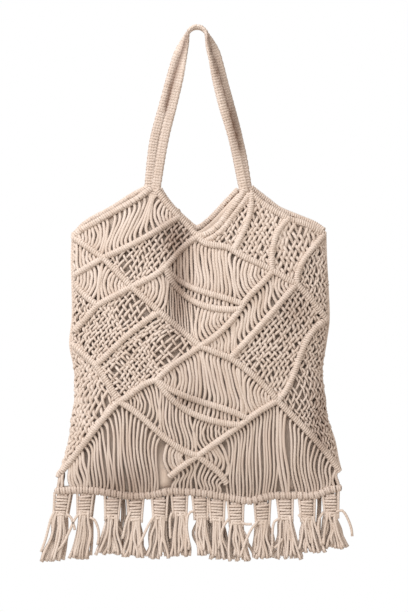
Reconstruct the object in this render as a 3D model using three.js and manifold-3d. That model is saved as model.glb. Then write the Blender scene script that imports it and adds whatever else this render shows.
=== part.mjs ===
// A macrame tote bag of natural cotton cord, in the form it takes when hung up empty: two knotted
// panels with raised rows of hitches and open netting, a plain lining, two strap handles and a fringe.
// Millimetres, +Z up. The front faces -Y, and the origin is under the crown of the handles, where it hangs.
import * as THREE from "three";
import { mergeVertices } from "three/addons/utils/BufferGeometryUtils.js";
import Module from "manifold-3d";

const wasm = await Module();
wasm.setup();
const { clamp, lerp, smoothstep } = THREE.MathUtils;

// Driving dimensions.
const CORD = 4.2;                // thickness of the cotton cord, and so of the knotted wall
const GAP = 0.35;                // clearance kept between pieces that touch
const RIDGE = { half: 4.8, rise: 5.2 };           // a row of double half hitches raised on the wall
const RIM_RADIUS = 4.3;          // row of knots along the mouth
const BASE = { radius: 5.3, y: 7.6 };             // thick row along each bottom edge
const STRAP = { width: 13, thick: 5.5 };          // flat band of square knots
const HEAD = { width: 16.5, thick: 9.5, height: 26 };    // wrapped head of a tassel
const LINING = { thick: 1.4, inset: 6.2, drop: 14 };  // pouch of thin cloth inside the walls
const CORD_COLOUR = 0xd9c6b4;
const LINING_COLOUR = 0xdfd3c6;

// Body of the bag by height: side edges, greatest half depth, and the squareness of its plan.
const SECTIONS = [
  { z: -606, left: -181, right: 184, depth: 7.6, square: 7.0 },
  { z: -588, left: -180, right: 184, depth: 9, square: 5.0 },
  { z: -569, left: -177, right: 186, depth: 15, square: 3.2 },
  { z: -550, left: -171, right: 182, depth: 22, square: 2.6 },
  { z: -525, left: -164, right: 177, depth: 28, square: 2.3 },
  { z: -499, left: -161, right: 168, depth: 33, square: 2.2 },
  { z: -467, left: -157, right: 164, depth: 36, square: 2.2 },
  { z: -436, left: -158, right: 161, depth: 37, square: 2.2 },
  { z: -403, left: -164, right: 166, depth: 38, square: 2.2 },
  { z: -372, left: -161, right: 170, depth: 37, square: 2.2 },
  { z: -334, left: -161, right: 169, depth: 35, square: 2.2 },
  { z: -298, left: -162, right: 167, depth: 31, square: 2.2 },
  { z: -264, left: -161, right: 166, depth: 26, square: 2.2 },
  { z: -230, left: -161, right: 166, depth: 18, square: 2.3 },
  { z: -196, left: -161, right: 166, depth: 13, square: 2.3 },
];

// Soft hollows that the empty front falls into.
const DENTS = [
  { x: -22, z: -335, wide: 18, tall: 62, deep: 7 },
  { x: 118, z: -420, wide: 20, tall: 48, deep: 4 },
];

// Mouth of each panel: two shoulders that rise to the handles and a V-shaped neck between them.
const RIMS = {
  front: {
    left: [[-157, -268], [-149, -259], [-130, -248], [-107, -235], [-80, -220], [-60, -206]],
    neck: [[-51, -207], [-41, -221], [-32, -232], [-11, -253], [1, -265],
      [14, -262], [29, -250], [39, -237], [51, -221], [60, -208]],
    right: [[68, -210], [80, -221], [93, -230], [105, -237], [118, -244], [137, -250], [161, -262]],
  },
  back: {
    left: [[-157, -264], [-146, -251], [-135, -243], [-109, -229], [-84, -213], [-64, -202]],
    neck: [[-46, -204], [-37, -218], [-24, -232], [-11, -244], [0, -253],
      [13, -246], [24, -236], [37, -222], [52, -206]],
    right: [[70, -203], [80, -211], [93, -221], [105, -230], [131, -241], [150, -249], [161, -257]],
  },
};

// Lower edge of both panels.
const BASE_LINE = [[-180, -591], [-149, -589], [-117, -592], [-85, -597], [-60, -596], [-34, -591], [4, -593],
  [42, -599], [67, -603], [93, -597], [118, -596], [150, -596], [169, -589], [183, -587]];

// Where the raised rows meet, across and up.
const KNOTS = {
  left_top: [-157, -268], right_top: [162, -264], v_bottom: [1, -267], peak: [62, -212],
  shoulder_row: [-119, -293], second_row: [-83, -330], third_row: [-47, -362], centre: [4, -405],
  fold_right: [95, -310], fork_right: [126, -326], right_mid: [166, -371], below_centre: [42, -420],
  right_cross: [102, -474], right_low: [180, -564], left_cross: [-99, -475], left_low: [-172, -568],
  low_cross: [1, -544], left_mid: [-160, -403], left_fork: [-128, -429], neck_left: [-23, -241],
  eye_left: [-41, -306], eye_right: [58, -352], low_eye_left: [-51, -448], low_eye_right: [65, -497],
  side_1: [-157, -314], side_2: [-157, -326], side_3: [-157, -386], side_fork: [-126, -353],
  rim_1: [69, -212], rim_1_end: [46, -284], rim_2: [117, -243], rim_2_end: [94, -309],
  foot_left: [-34, -570], foot_right: [37, -579], edge_a: [-158, -356], edge_b: [-155, -480],
  edge_c: [166, -328], edge_d: [160, -448], rim_1_mid: [62, -253],
};

// Raised rows: from one knot to another, with the bow at mid length and the lean of that bow.
const ROWS = [
  { from: "left_top", to: "centre", bow: 1.5, lean: 6 },
  { from: "centre", to: "right_low", bow: 14.5, lean: 9 },
  { from: "v_bottom", to: "right_mid", bow: 15, lean: -3 },
  { from: "right_top", to: "fork_right", bow: -6, lean: 2 },
  { from: "fork_right", to: "below_centre", bow: 1, lean: 0 },
  { from: "fold_right", to: "centre", bow: 4, lean: -2 },
  { from: "centre", to: "left_cross", bow: 1, lean: 0 },
  { from: "left_cross", to: "left_low", bow: -1, lean: -1 },
  { from: "eye_left", to: "eye_right", bow: -23, lean: -1 },
  { from: "shoulder_row", to: "neck_left", bow: -3, lean: 0 },
  { from: "second_row", to: "v_bottom", bow: -6, lean: 0 },
  { from: "second_row", to: "side_3", bow: -7.6, lean: 0 },
  { from: "third_row", to: "left_fork", bow: -3, lean: -1 },
  { from: "left_mid", to: "left_cross", bow: 7.6, lean: 0 },
  { from: "left_cross", to: "low_cross", bow: -3, lean: 4 },
  { from: "right_cross", to: "low_cross", bow: -2, lean: 0 },
  { from: "right_cross", to: "right_mid", bow: 4, lean: -6 },
  { from: "low_eye_left", to: "low_eye_right", bow: -20, lean: -1 },
];

// Open netting between the rows: its four corners, and the gaps cut along its two directions.
const NETS = [
  { top: "second_row", right: "third_row", bottom: "left_fork", left: "side_3", across: 2, down: 2 },
  { top: "side_2", right: "side_fork", bottom: "side_3", left: "edge_a", across: 1, down: 1 },
  { top: "third_row", right: "centre", bottom: "left_cross", left: "left_fork", across: 2, down: 2 },
  { top: "left_mid", right: "left_cross", bottom: "left_low", left: "edge_b", across: 1, down: 2 },
  { top: "neck_left", right: "v_bottom", bottom: "second_row", left: "shoulder_row", across: 2, down: 2 },
  { top: "fork_right", right: "right_mid", bottom: "right_cross", left: "below_centre", across: 2, down: 2 },
  { top: "peak", right: "rim_1_mid", bottom: "rim_1_end", left: "v_bottom", across: 1, down: 1 },
  { top: "rim_1", right: "rim_2", bottom: "rim_2_end", left: "rim_1_end", across: 1, down: 3 },
  { top: "rim_2", right: "right_top", bottom: "fork_right", left: "rim_2_end", across: 2, down: 2 },
  { top: "right_top", right: "edge_c", bottom: "right_mid", left: "fork_right", across: 1, down: 1 },
  { top: "right_mid", right: "edge_d", bottom: "right_low", left: "right_cross", across: 1, down: 3 },
];
const GAP_SHARE = 0.46;          // side of a gap as a share of its cell

// Handles: where each band runs, across and up, and how soon it turns edge-on over the crown.
const HANDLES = {
  front: {
    turn: 100, crown_y: 8, path: [[-53, -211], [-41, -144], [-29, -93], [-18, -42], [-13, -19], [-11.4, -5],
      [-6.6, 0.8], [0, 2.75], [6.6, 0.8], [11.4, -5], [14, -23], [19, -42], [30, -93], [44, -144], [60, -211]],
  },
  back: {
    turn: 55, crown_y: 8, path: [[-62, -207], [-54, -144], [-41, -93], [-28, -42], [-20, -20], [-13.6, -6],
      [-7, 0.9], [0, 2.75], [7, 0.9], [13.6, -6], [20, -18], [27, -42], [41, -93], [53, -144], [65, -209]],
  },
};

// Tassels: place along the bottom on the front and the back, shift and half width of the skirt, its tip.
const TASSELS = [
  { front: -171, back: -169, lean: -11, spread: 17, tip: -678 },
  { front: -141, back: -140, lean: -8, spread: 15, tip: -677 },
  { front: -107, back: -108, lean: -8, spread: 16, tip: -672 },
  { front: -78, back: -77, lean: -3, spread: 16, tip: -673 },
  { front: -48, back: -48, lean: 1, spread: 13, tip: -674 },
  { front: -22, back: -22, lean: 1, spread: 12, tip: -674 },
  { front: 4, back: 5, lean: 1, spread: 10, tip: -672 },
  { front: 26, back: 25, lean: 1, spread: 11, tip: -676 },
  { front: 50, back: 50, lean: 2, spread: 13, tip: -678 },
  { front: 83, back: 84, lean: 0, spread: 13, tip: -674 },
  { front: 112, back: 112, lean: 3, spread: 15, tip: -674 },
  { front: 141, back: 141, lean: 3, spread: 12, tip: -667 },
  { front: 171, back: 170, lean: 4, spread: 17, tip: -662 },
];
const LOCKS = 4;                 // strips in the skirt of a tassel

// Vector of three lengths.
const vec = (x, y, z) => new THREE.Vector3(x, y, z);

// One column of a table at a height, eased through the rows.
function eased(rows, name, z) {
  let i = 0;
  while (i < rows.length - 2 && rows[i + 1].z < z) i += 1;
  const slope = (k) => {
    const a = rows[Math.max(k - 1, 0)], b = rows[Math.min(k + 1, rows.length - 1)];
    return (b[name] - a[name]) / (b.z - a.z);
  };
  const [a, b] = [rows[i], rows[i + 1]], step = b.z - a.z, t = clamp((z - a.z) / step, 0, 1);
  const h = t * t * (3 - 2 * t);
  return lerp(a[name], b[name], h) + step * t * (1 - t) * ((1 - t) * slope(i) - t * slope(i + 1));
}

// Height of a line of points at a place across the bag.
function heightAt(line, x) {
  let i = 0;
  while (i < line.length - 2 && line[i + 1][0] < x) i += 1;
  const [[ax, az], [bx, bz]] = [line[i], line[i + 1]];
  return lerp(az, bz, clamp((x - ax) / (bx - ax), 0, 1));
}

// Middle and half width of the wall's middle surface at a height.
function span(z) {
  const left = eased(SECTIONS, "left", z) + CORD / 2, right = eased(SECTIONS, "right", z) - CORD / 2;
  return { mid: (left + right) / 2, half: (right - left) / 2 };
}

// Half depth of the bag: a squared oval in plan, less the dents of the front.
function depthAt(x, z, side, inset = 0) {
  const { mid, half } = span(z);
  const s = clamp(Math.abs(x - mid) / (half - inset), 0, 0.99999);
  const k = eased(SECTIONS, "square", z);
  let depth = eased(SECTIONS, "depth", z) * (1 - s ** k) ** (1 / k);
  if (side < 0) {
    for (const d of DENTS) {
      const edge = 1 - s ** 4;
      depth -= d.deep * edge * Math.exp(-(((x - d.x) / d.wide) ** 2) - ((z - d.z) / d.tall) ** 2);
    }
  }
  return depth;
}

// Point of the wall's middle surface and its outward direction; side is -1 for the front, 1 for the back.
function wallAt(x, z, side) {
  const e = 0.4, dx = (depthAt(x + e, z, side) - depthAt(x - e, z, side)) / (2 * e);
  const dz = (depthAt(x, z + e, side) - depthAt(x, z - e, side)) / (2 * e);
  return { point: vec(x, side * depthAt(x, z, side), z), out: vec(-dx, side, -dz).normalize() };
}

// Closed body through rings of points that all have the same even count, capped at both ends.
// Where inner is true, a facet is split along its other diagonal, so that both faces of a wall agree.
function loft(rings, inner = () => false) {
  const n = rings[0].length, m = n / 2, faces = [], last = (rings.length - 1) * n;
  for (let r = 0; r + 1 < rings.length; r += 1) {
    for (let i = 0; i < n; i += 1) {
      const a = r * n + i, b = r * n + ((i + 1) % n);
      if (inner(r, i)) faces.push(a, b, a + n, b, b + n, a + n);
      else faces.push(a, b, b + n, a, b + n, a + n);
    }
  }
  for (let i = 0; i + 1 < m; i += 1) {
    const a = i, b = i + 1, c = n - 2 - i, d = n - 1 - i;
    faces.push(a, d, c, a, c, b, last + a, last + b, last + c, last + a, last + c, last + d);
  }
  const geometry = new THREE.BufferGeometry();
  const places = rings.flat().flatMap((p) => p.toArray());
  geometry.setAttribute("position", new THREE.Float32BufferAttribute(places, 3));
  geometry.setIndex(faces);
  return solid(geometry);
}

// Boolean solid of a closed geometry, turned so that its faces point out.
function solid(geometry) {
  const bare = geometry.clone();
  for (const name of Object.keys(bare.attributes)) if (name !== "position") bare.deleteAttribute(name);
  const merged = mergeVertices(bare, 1e-4), p = merged.getAttribute("position");
  const tris = Uint32Array.from(merged.getIndex().array);
  const [a, b, c] = [vec(), vec(), vec()];
  let volume = 0;
  for (let i = 0; i < tris.length; i += 3) {
    a.fromBufferAttribute(p, tris[i]);
    b.fromBufferAttribute(p, tris[i + 1]);
    c.fromBufferAttribute(p, tris[i + 2]);
    volume += a.dot(b.cross(c));
  }
  if (volume < 0) for (let i = 0; i < tris.length; i += 3) [tris[i], tris[i + 1]] = [tris[i + 1], tris[i]];
  const vertProperties = Float32Array.from(p.array);
  return new wasm.Manifold(new wasm.Mesh({ numProp: 3, vertProperties, triVerts: tris }));
}

// Tube of a few sides round a line of points.
function tube(points, radius, sides = 6, extend = 0) {
  const n = points.length;
  const line = points.map((p) => p.clone());
  line[0].addScaledVector(points[0].clone().sub(points[1]).normalize(), extend);
  line[n - 1].addScaledVector(points[n - 1].clone().sub(points[n - 2]).normalize(), extend);
  return loft(line.map((p, i) => {
    const before = p.clone().sub(line[Math.max(i - 1, 0)]).normalize();
    const after = line[Math.min(i + 1, n - 1)].clone().sub(p).normalize();
    const along = before.clone().add(after).normalize();
    const mitre = 1 / Math.max(along.dot(i ? before : after), 0.6);
    const up = vec(0, 1, 0).addScaledVector(along, -along.y).normalize(), side = vec().crossVectors(along, up);
    return Array.from({ length: sides }, (_, k) => {
      const turn = ((k + 0.5) / sides) * 2 * Math.PI;
      return p.clone().addScaledVector(up, radius * Math.cos(turn))
        .addScaledVector(side, radius * mitre * Math.sin(turn));
    });
  }));
}

// Raised row between two knots: a low round ridge half sunk in the wall.
function ridge(row, side) {
  const [ax, az] = KNOTS[row.from], [bx, bz] = KNOTS[row.to];
  const length = Math.hypot(bx - ax, bz - az);
  const steps = Math.max(1, Math.round(length / 60) + (Math.abs(row.bow) > 1.5 ? 1 : 0));
  const [nx, nz] = [-(bz - az) / length, (bx - ax) / length];
  const at = (t) => {
    const off = 4 * t * (1 - t) * (row.bow + 4 * row.lean * (0.5 - t));
    return wallAt(lerp(ax, bx, t) + nx * off, lift(lerp(az, bz, t) + nz * off, side), side);
  };
  const { half, rise } = RIDGE;
  const profile = [[-half, 0.5], [-0.5 * half, rise], [0.5 * half, rise], [half, 0.5]];
  return loft(Array.from({ length: steps + 1 }, (_, i) => {
    const t = i / steps, { point, out } = at(t), along = at(t + 0.02).point.sub(at(t - 0.02).point).normalize();
    const across = vec().crossVectors(along, out).normalize();
    return profile.map(([b, h]) => point.clone().addScaledVector(across, b).addScaledVector(out, h));
  }));
}

// The back panel is pulled up a little more than the front, most of all near its mouth.
function lift(z, side) {
  return side < 0 ? z : z + 8 * smoothstep(z, -430, -270);
}

// Mouth of a panel as one line from side to side.
const mouth = (rim) => [...rim.left, ...rim.neck, ...rim.right];

// Knotted wall of one panel, from its lower edge up to its mouth.
function wall(rim, side) {
  const edge = [1, 0.975, 0.88], rows = 6;
  const across = [-98, -56, -28, 1, 32, 62, 100].map((x) => (x - 2.5) / 161.4);
  const stations = [...edge.map((s) => -s), ...across, ...edge.reverse()];
  return loft(stations.map((s) => {
    const place = (z) => span(z).mid + s * span(z).half;
    const top = heightAt(mouth(rim), place(-250)), bottom = heightAt(BASE_LINE, place(-592));
    const line = Array.from({ length: rows + 1 }, (_, i) => {
      const z = lerp(bottom, top, i / rows);
      return wallAt(place(z), z, side);
    });
    const outer = line.map(({ point, out }) => point.clone().addScaledVector(out, CORD / 2));
    return [...outer, ...line.map(({ point, out }) => point.clone().addScaledVector(out, -CORD / 2)).reverse()];
  }), (r, i) => i > rows);
}

// Gaps of one net, each a diamond cut straight through the wall.
function gaps(net, side) {
  const [top, right, bottom, left] = [net.top, net.right, net.bottom, net.left].map((name) => KNOTS[name]);
  const at = (u, v) => [0, 1].map((k) => lerp(lerp(top[k], right[k], u), lerp(left[k], bottom[k], u), v));
  const cuts = [];
  for (let i = 0; i < net.across; i += 1) {
    for (let j = 0; j < net.down; j += 1) {
      const half = GAP_SHARE / 2, inner = (k, n) => lerp(0.1, 0.9, k / n);
      const [u0, u1] = [inner(i + 0.5 - half, net.across), inner(i + 0.5 + half, net.across)];
      const [v0, v1] = [inner(j + 0.5 - half, net.down), inner(j + 0.5 + half, net.down)];
      const ring = [at(u0, v0), at(u1, v0), at(u1, v1), at(u0, v1)];
      cuts.push(loft([-70, -0.05].map((y) => ring.map(([x, z]) => vec(x, -side * y, lift(z, side))))));
    }
  }
  return cuts;
}

// Line of a rim laid on the wall and a little proud of it.
const onWall = (line, side) => line.map(([x, z]) => {
  const { point, out } = wallAt(x, z, side);
  return point.addScaledVector(out, 0.8);
});

// Band of a handle, edge-on over the crown and flat against the panel at its two roots.
function band(handle, side, grow = 0) {
  const n = handle.path.length - 1;
  const points = handle.path.map(([x, z], i) => {
    const root = depthAt(x, -204, side) + 0.4, away = smoothstep(-z, 10, 200);
    return vec(x, side * (i === 0 || i === n ? root : lerp(handle.crown_y, root, away)), z);
  });
  const curve = new THREE.CatmullRomCurve3(points, false, "centripetal"), steps = 24;
  const length = curve.getLength(), middle = length / 2;
  const outline = [[-0.5, 0], [-0.36, -0.5], [0.36, -0.5], [0.5, 0], [0.36, 0.5], [-0.36, 0.5]];
  return loft(Array.from({ length: steps + 1 }, (_, i) => {
    const t = 0.5 - 0.5 * Math.sign(0.5 - i / steps) * Math.abs(1 - (2 * i) / steps) ** 1.7;
    const point = curve.getPointAt(t), along = curve.getTangentAt(t);
    if (grow > 0 && (i === 0 || i === steps)) point.addScaledVector(along, i ? grow : -grow);
    const flat = vec(along.z, 0, -along.x).normalize();
    const turn = (Math.PI / 2) * (1 - smoothstep(Math.abs(t * length - middle), 12, handle.turn));
    const wide = flat.multiplyScalar(Math.cos(turn)).add(vec(0, Math.sin(turn), 0));
    wide.addScaledVector(along, -wide.dot(along)).normalize();
    const deep = vec().crossVectors(along, wide);
    return outline.map(([a, b]) => point.clone().addScaledVector(wide, a * (STRAP.width + 2 * grow))
      .addScaledVector(deep, b * (STRAP.thick + 2 * grow)));
  }));
}

// Thin pouch inside the walls: up the outside, over its top edge and down the inside.
function lining() {
  const ends = [0.999, 0.96, 0.86], rows = 4;
  const across = [...ends.map((s) => -s), -0.62, -0.36, -0.19, -0.01, 0.18, 0.37, 0.6, ...ends.reverse()];
  const top = (x) => Math.min(heightAt(mouth(RIMS.front), x), heightAt(mouth(RIMS.back), x)) - LINING.drop;
  const ring = (row, inset) => {
    const at = (s, side) => {
      const place = (z) => span(z).mid + s * (span(z).half - inset);
      const z = lerp(-574 + (inset - LINING.inset), top(place(-250)), row / rows), x = place(z);
      const least = 2 - (inset - LINING.inset);
      return vec(x, side * Math.max(depthAt(x, z, side, inset) - inset, least), z);
    };
    return [...across.map((s) => at(s, -1)), ...across.map((s) => at(s, 1)).reverse()];
  };
  const up = Array.from({ length: rows + 1 }, (_, r) => ring(r, LINING.inset));
  const down = Array.from({ length: rows + 1 }, (_, r) => ring(rows - r, LINING.inset + LINING.thick));
  return loft([...up, ...down], (r) => r > rows);
}

// Tassel: a wrapped head under the bottom row, with strips that spread from it.
function tassel(row, x, side) {
  const under = [-0.5, 0, 0.5].map((share) => heightAt(BASE_LINE, x + share * HEAD.width));
  const y = side * BASE.y, top = Math.min(...under) - BASE.radius - GAP, low = top - HEAD.height;
  const shift = (z) => row.lean * 0.25 * ((top - z) / HEAD.height);
  const slab = (z, share) => {
    const [w, d, c] = [(HEAD.width / 2) * share, (HEAD.thick / 2) * share, x + shift(z)];
    return [vec(c - w, y - d, z), vec(c + w, y - d, z), vec(c + w, y + d, z), vec(c - w, y + d, z)];
  };
  let body = loft([slab(top, 1), slab(low, 0.8)]);
  for (let k = 0; k < LOCKS; k += 1) {
    const f = (2 * (k + 0.5)) / LOCKS - 1, tip = row.tip + 5 * Math.abs(Math.sin(5.3 * k + 0.37 * x));
    const strip = (z, c, half, deep, out) => [vec(c - half, y + out - deep, z), vec(c + half, y + out - deep, z),
      vec(c + half, y + out + deep, z), vec(c - half, y + out + deep, z)];
    const out = k % 2 ? 1.2 : -1.2;
    body = body.add(loft([
      strip(low + 4, x + shift(low) + f * 0.36 * HEAD.width, 0.125 * HEAD.width, 3.4, 0),
      strip(tip, x + row.lean + f * row.spread, 0.21 * row.spread, 3.2, out),
    ]));
  }
  return body;
}

// Largest single body of a cut solid, without crumbs.
const whole = (cut) => cut.decompose().sort((a, b) => b.volume() - a.volume())[0];

// Mesh of a solid with its own material.
function piece(name, body, colour, roughness) {
  const mesh = whole(body).getMesh(), geometry = new THREE.BufferGeometry();
  const p = mesh.vertProperties, stride = mesh.numProp;
  const flat = Array.from({ length: (p.length / stride) * 3 }, (_, i) => p[Math.floor(i / 3) * stride + (i % 3)]);
  geometry.setAttribute("position", new THREE.Float32BufferAttribute(flat, 3));
  geometry.setIndex(Array.from(mesh.triVerts));
  geometry.computeVertexNormals();
  const material = new THREE.MeshStandardMaterial({ color: colour, roughness, metalness: 0 });
  const item = new THREE.Mesh(geometry, material);
  item.name = name;
  return item;
}

const bag = new THREE.Group();
const baseLine = (side) => BASE_LINE.map(([x, z]) => vec(x, side * BASE.y, z));
for (const [label, side] of [["front", -1], ["back", 1]]) {
  const rim = RIMS[label], handle = HANDLES[label], room = band(handle, side, GAP);
  let panel = wall(rim, side);
  for (const row of ROWS) panel = panel.add(ridge(row, side));
  for (const line of Object.values(rim)) {
    panel = panel.subtract(tube(onWall(line, side), RIM_RADIUS + GAP, 6, GAP));
  }
  panel = panel.subtract(tube(baseLine(side), BASE.radius + GAP, 6, 8)).subtract(room);
  for (const net of NETS) for (const cut of gaps(net, side)) panel = panel.subtract(cut);
  const half = new THREE.BoxGeometry(600, 100, 800).translate(0, side * 50.2, -400);
  bag.add(piece(`${label}_panel`, panel.intersect(solid(half)), CORD_COLOUR, 0.95));
  for (const [name, line] of Object.entries(rim)) {
    const row = tube(onWall(line, side), RIM_RADIUS).subtract(room);
    bag.add(piece(`${label}_rim_${name}`, row, CORD_COLOUR, 0.95));
  }
  bag.add(piece(`${label}_base_row`, tube(baseLine(side), BASE.radius), CORD_COLOUR, 0.95));
  bag.add(piece(`${label}_handle`, band(handle, side), CORD_COLOUR, 0.95));
  TASSELS.forEach((row, i) => {
    const number = String(i + 1).padStart(2, "0");
    bag.add(piece(`${label}_tassel_${number}`, tassel(row, row[label], side), CORD_COLOUR, 0.95));
  });
}
bag.add(piece("lining", lining(), LINING_COLOUR, 0.9));

export default bag;
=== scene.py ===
# %% [markdown]
# # A macrame tote bag, dressed cord by cord
# The bag is knotted from thick natural cotton cord: two openwork panels, a sewn cloth lining between them,
# two long handles and a fringe of tassels. The frame holds the bag's plain solids at their true size. Each
# lesson below replaces some of them with the cords that the real bag is made of, in the same place.

# %% Load the frame
import bpy
import numpy as np
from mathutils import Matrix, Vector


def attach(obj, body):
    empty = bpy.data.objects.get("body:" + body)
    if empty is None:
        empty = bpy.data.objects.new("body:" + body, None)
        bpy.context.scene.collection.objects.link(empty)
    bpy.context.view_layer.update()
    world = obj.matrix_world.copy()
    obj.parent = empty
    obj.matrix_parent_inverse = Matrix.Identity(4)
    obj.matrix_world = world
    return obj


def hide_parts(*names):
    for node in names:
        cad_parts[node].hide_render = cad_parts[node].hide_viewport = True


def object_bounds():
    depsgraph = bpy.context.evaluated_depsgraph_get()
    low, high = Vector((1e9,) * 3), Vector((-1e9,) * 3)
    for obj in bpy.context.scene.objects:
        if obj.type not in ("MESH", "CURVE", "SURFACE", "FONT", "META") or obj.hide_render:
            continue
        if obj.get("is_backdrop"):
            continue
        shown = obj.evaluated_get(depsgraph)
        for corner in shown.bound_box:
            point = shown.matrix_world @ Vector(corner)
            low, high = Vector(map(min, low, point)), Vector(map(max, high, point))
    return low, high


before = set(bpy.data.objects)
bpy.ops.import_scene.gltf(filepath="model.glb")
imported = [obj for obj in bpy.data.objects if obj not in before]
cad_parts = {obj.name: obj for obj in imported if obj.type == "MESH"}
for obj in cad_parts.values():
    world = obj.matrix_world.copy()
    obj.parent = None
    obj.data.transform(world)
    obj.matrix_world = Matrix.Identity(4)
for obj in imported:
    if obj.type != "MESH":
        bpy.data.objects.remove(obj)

solid_box = [[float(v) for v in corner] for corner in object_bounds()]
print("solids span", np.round(np.subtract(solid_box[1], solid_box[0]), 3), "m")

# %% [markdown]
# ## Camera
# The picture was taken level with the middle of the bag, from far away, so its sides hardly converge. A long
# lens three metres off gives that. The lens follows from the height of cloth that fills the picture.

# %% Camera
MM = 0.001
VIEW_CENTRE = np.array([8.9, -25.0, -354.3])
VIEW_HEIGHT, VIEW_DISTANCE, SENSOR = 777.0, 3000.0, 36.0

scene = bpy.context.scene


def put(name, data):
    """Puts a new object into the scene."""
    made = bpy.data.objects.new(name, data)
    scene.collection.objects.link(made)
    return made


lens = bpy.data.cameras.new("lens")
lens.sensor_width = SENSOR
lens.lens = SENSOR * VIEW_DISTANCE / VIEW_HEIGHT
camera = put("camera", lens)
camera.location = (VIEW_CENTRE - [0, VIEW_DISTANCE, 0]) * MM
camera.rotation_euler = (np.pi / 2, 0, 0)
scene.camera = camera
print("lens", round(lens.lens, 1), "mm")

# %% [markdown]
# ## The hanging wall
# Each panel is a soft wall. It bellies out in the middle and closes to nothing at the sides, so a level cut
# through both panels is a flat oval. The table gives that oval at heights down the bag: its left and right
# ends, its half depth, and how square it is. Two shallow dents are where the front sags into a fold.

# %% Wall table
CORD = 4.2
SECTIONS = np.array([  # height, left, right, half depth, squareness, in mm
    (-606, -181, 184, 7.6, 7), (-588, -180, 184, 9, 5), (-569, -177, 186, 15, 3.2), (-550, -171, 182, 22, 2.6),
    (-525, -164, 177, 28, 2.3), (-499, -161, 168, 33, 2.2), (-467, -157, 164, 36, 2.2),
    (-436, -158, 161, 37, 2.2), (-403, -164, 166, 38, 2.2), (-372, -161, 170, 37, 2.2),
    (-334, -161, 169, 35, 2.2), (-298, -162, 167, 31, 2.2), (-264, -161, 166, 26, 2.2),
    (-230, -161, 166, 18, 2.3), (-196, -161, 166, 13, 2.3)], float)
DENTS = [(-15, -322, 20, 76, 17), (118, -420, 20, 48, 5)]  # x, height, wide, tall, deep
FRONT, BACK = -1, 1
PANELS = {FRONT: "front", BACK: "back"}
BACK_LIFT, LIFT_FROM, LIFT_TO = 8.0, -430, -270  # the back's rise, and the heights it comes in over
print(len(SECTIONS), "level cuts")

# %% Wall surface
def eased(at, values, want):
    """Smooth curve through a table: between two rows it is the cubic that starts and ends with the slope of
    the line through each row's neighbours."""
    slope = np.gradient(values) / np.gradient(at)
    slope[1:-1] = (values[2:] - values[:-2]) / (at[2:] - at[:-2])
    i = np.clip(np.searchsorted(at, want) - 1, 0, len(at) - 2)
    step = at[i + 1] - at[i]
    t = np.clip((want - at[i]) / step, 0, 1)
    rise = (values[i + 1] - values[i]) * t * t * (3 - 2 * t)
    return values[i] + rise + step * t * (1 - t) * ((1 - t) * slope[i] - t * slope[i + 1])


def smoothstep(x, low, high):
    """0 below low, 1 above high, and an S-curve between."""
    t = np.clip((x - low) / (high - low), 0, 1)
    return t * t * (3 - 2 * t)


def stack(*columns):
    """Columns of numbers side by side, each spread to the shape of the widest."""
    return np.stack(np.broadcast_arrays(*columns), -1)


def unit(v, guard=0.0):
    """The same directions at length 1. A guard is for lines whose points may coincide."""
    return v / (np.linalg.norm(v, axis=-1, keepdims=True) + guard)


def spot(x, z, at_x, at_z, wide, tall):
    """A soft spot: e^(-(x/wide)^2 - (z/tall)^2), measured from its middle."""
    return np.exp(-((x - at_x) / wide) ** 2 - ((z - at_z) / tall) ** 2)


def oval(z):
    """Middle, half width, half depth and squareness of the level cut at each height z."""
    left, right, depth, square = (eased(SECTIONS[:, 0], SECTIONS[:, k], z) for k in (1, 2, 3, 4))
    return (left + right) / 2, (right - left - CORD) / 2, depth, square


def wall_depth(x, z, side, inset=0.0):
    """Half depth of the wall at (x, z): depth (1 - s^k)^(1/k), with s the share of the half width, less the
    dents on the front."""
    middle, half, depth, k = oval(z)
    s = np.clip(np.abs(x - middle) / (half - inset), 0, 0.99999)
    y = depth * (1 - s ** k) ** (1 / k)
    if side == FRONT:
        for *place, deep in DENTS:
            y = y - deep * (1 - s ** 4) * spot(x, z, *place)
    return y


def wall_out(x, z):
    """Outward direction of the front-right quarter, turned for the other three: the gradient of
    s^k + (y/depth)^k, with its height part taken over 2 mm."""
    middle, half, depth, k = oval(z)
    s = np.clip((x - middle) / half, -0.99, 0.99)
    y = (1 - np.abs(s) ** k) ** (1 / k)
    over, under = ((np.abs(x - m) / h) ** q + (y * depth / d) ** q for m, h, d, q in (oval(z + 1), oval(z - 1)))
    return k * np.abs(s) ** (k - 1) * np.sign(s) / half, k * y ** (k - 1) / depth, (over - under) / 2


def lay(flat, side, height=0.0):
    """Places flat (x, z) points on a panel, height mm out of it, and gives the outward directions too. The
    back hangs up to BACK_LIFT higher near the mouth."""
    x, z = flat[..., 0], flat[..., 1]
    if side == BACK:
        z = z + BACK_LIFT * smoothstep(z, LIFT_FROM, LIFT_TO)
    middle, half, _, _ = oval(z)
    x = np.clip(x, middle - half, middle + half)
    out = unit(stack(*wall_out(x, z)) * [1, side, 1])
    return stack(x, side * wall_depth(x, z, side), z) + out * np.asarray(height)[..., None], out


print("half depth at the middle of the belly", round(float(wall_depth(0.0, -403.0, BACK)), 1), "mm")

# %% [markdown]
# ## Knots, rows and edges
# The pattern is a map of knots in the flat panel. Rows of half hitches run between them, and each row may bow
# to one side or lean its bow toward one end. The mouth's edges and the bottom row are smooth lines through
# points. Everything later finds its place from this map.

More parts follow.
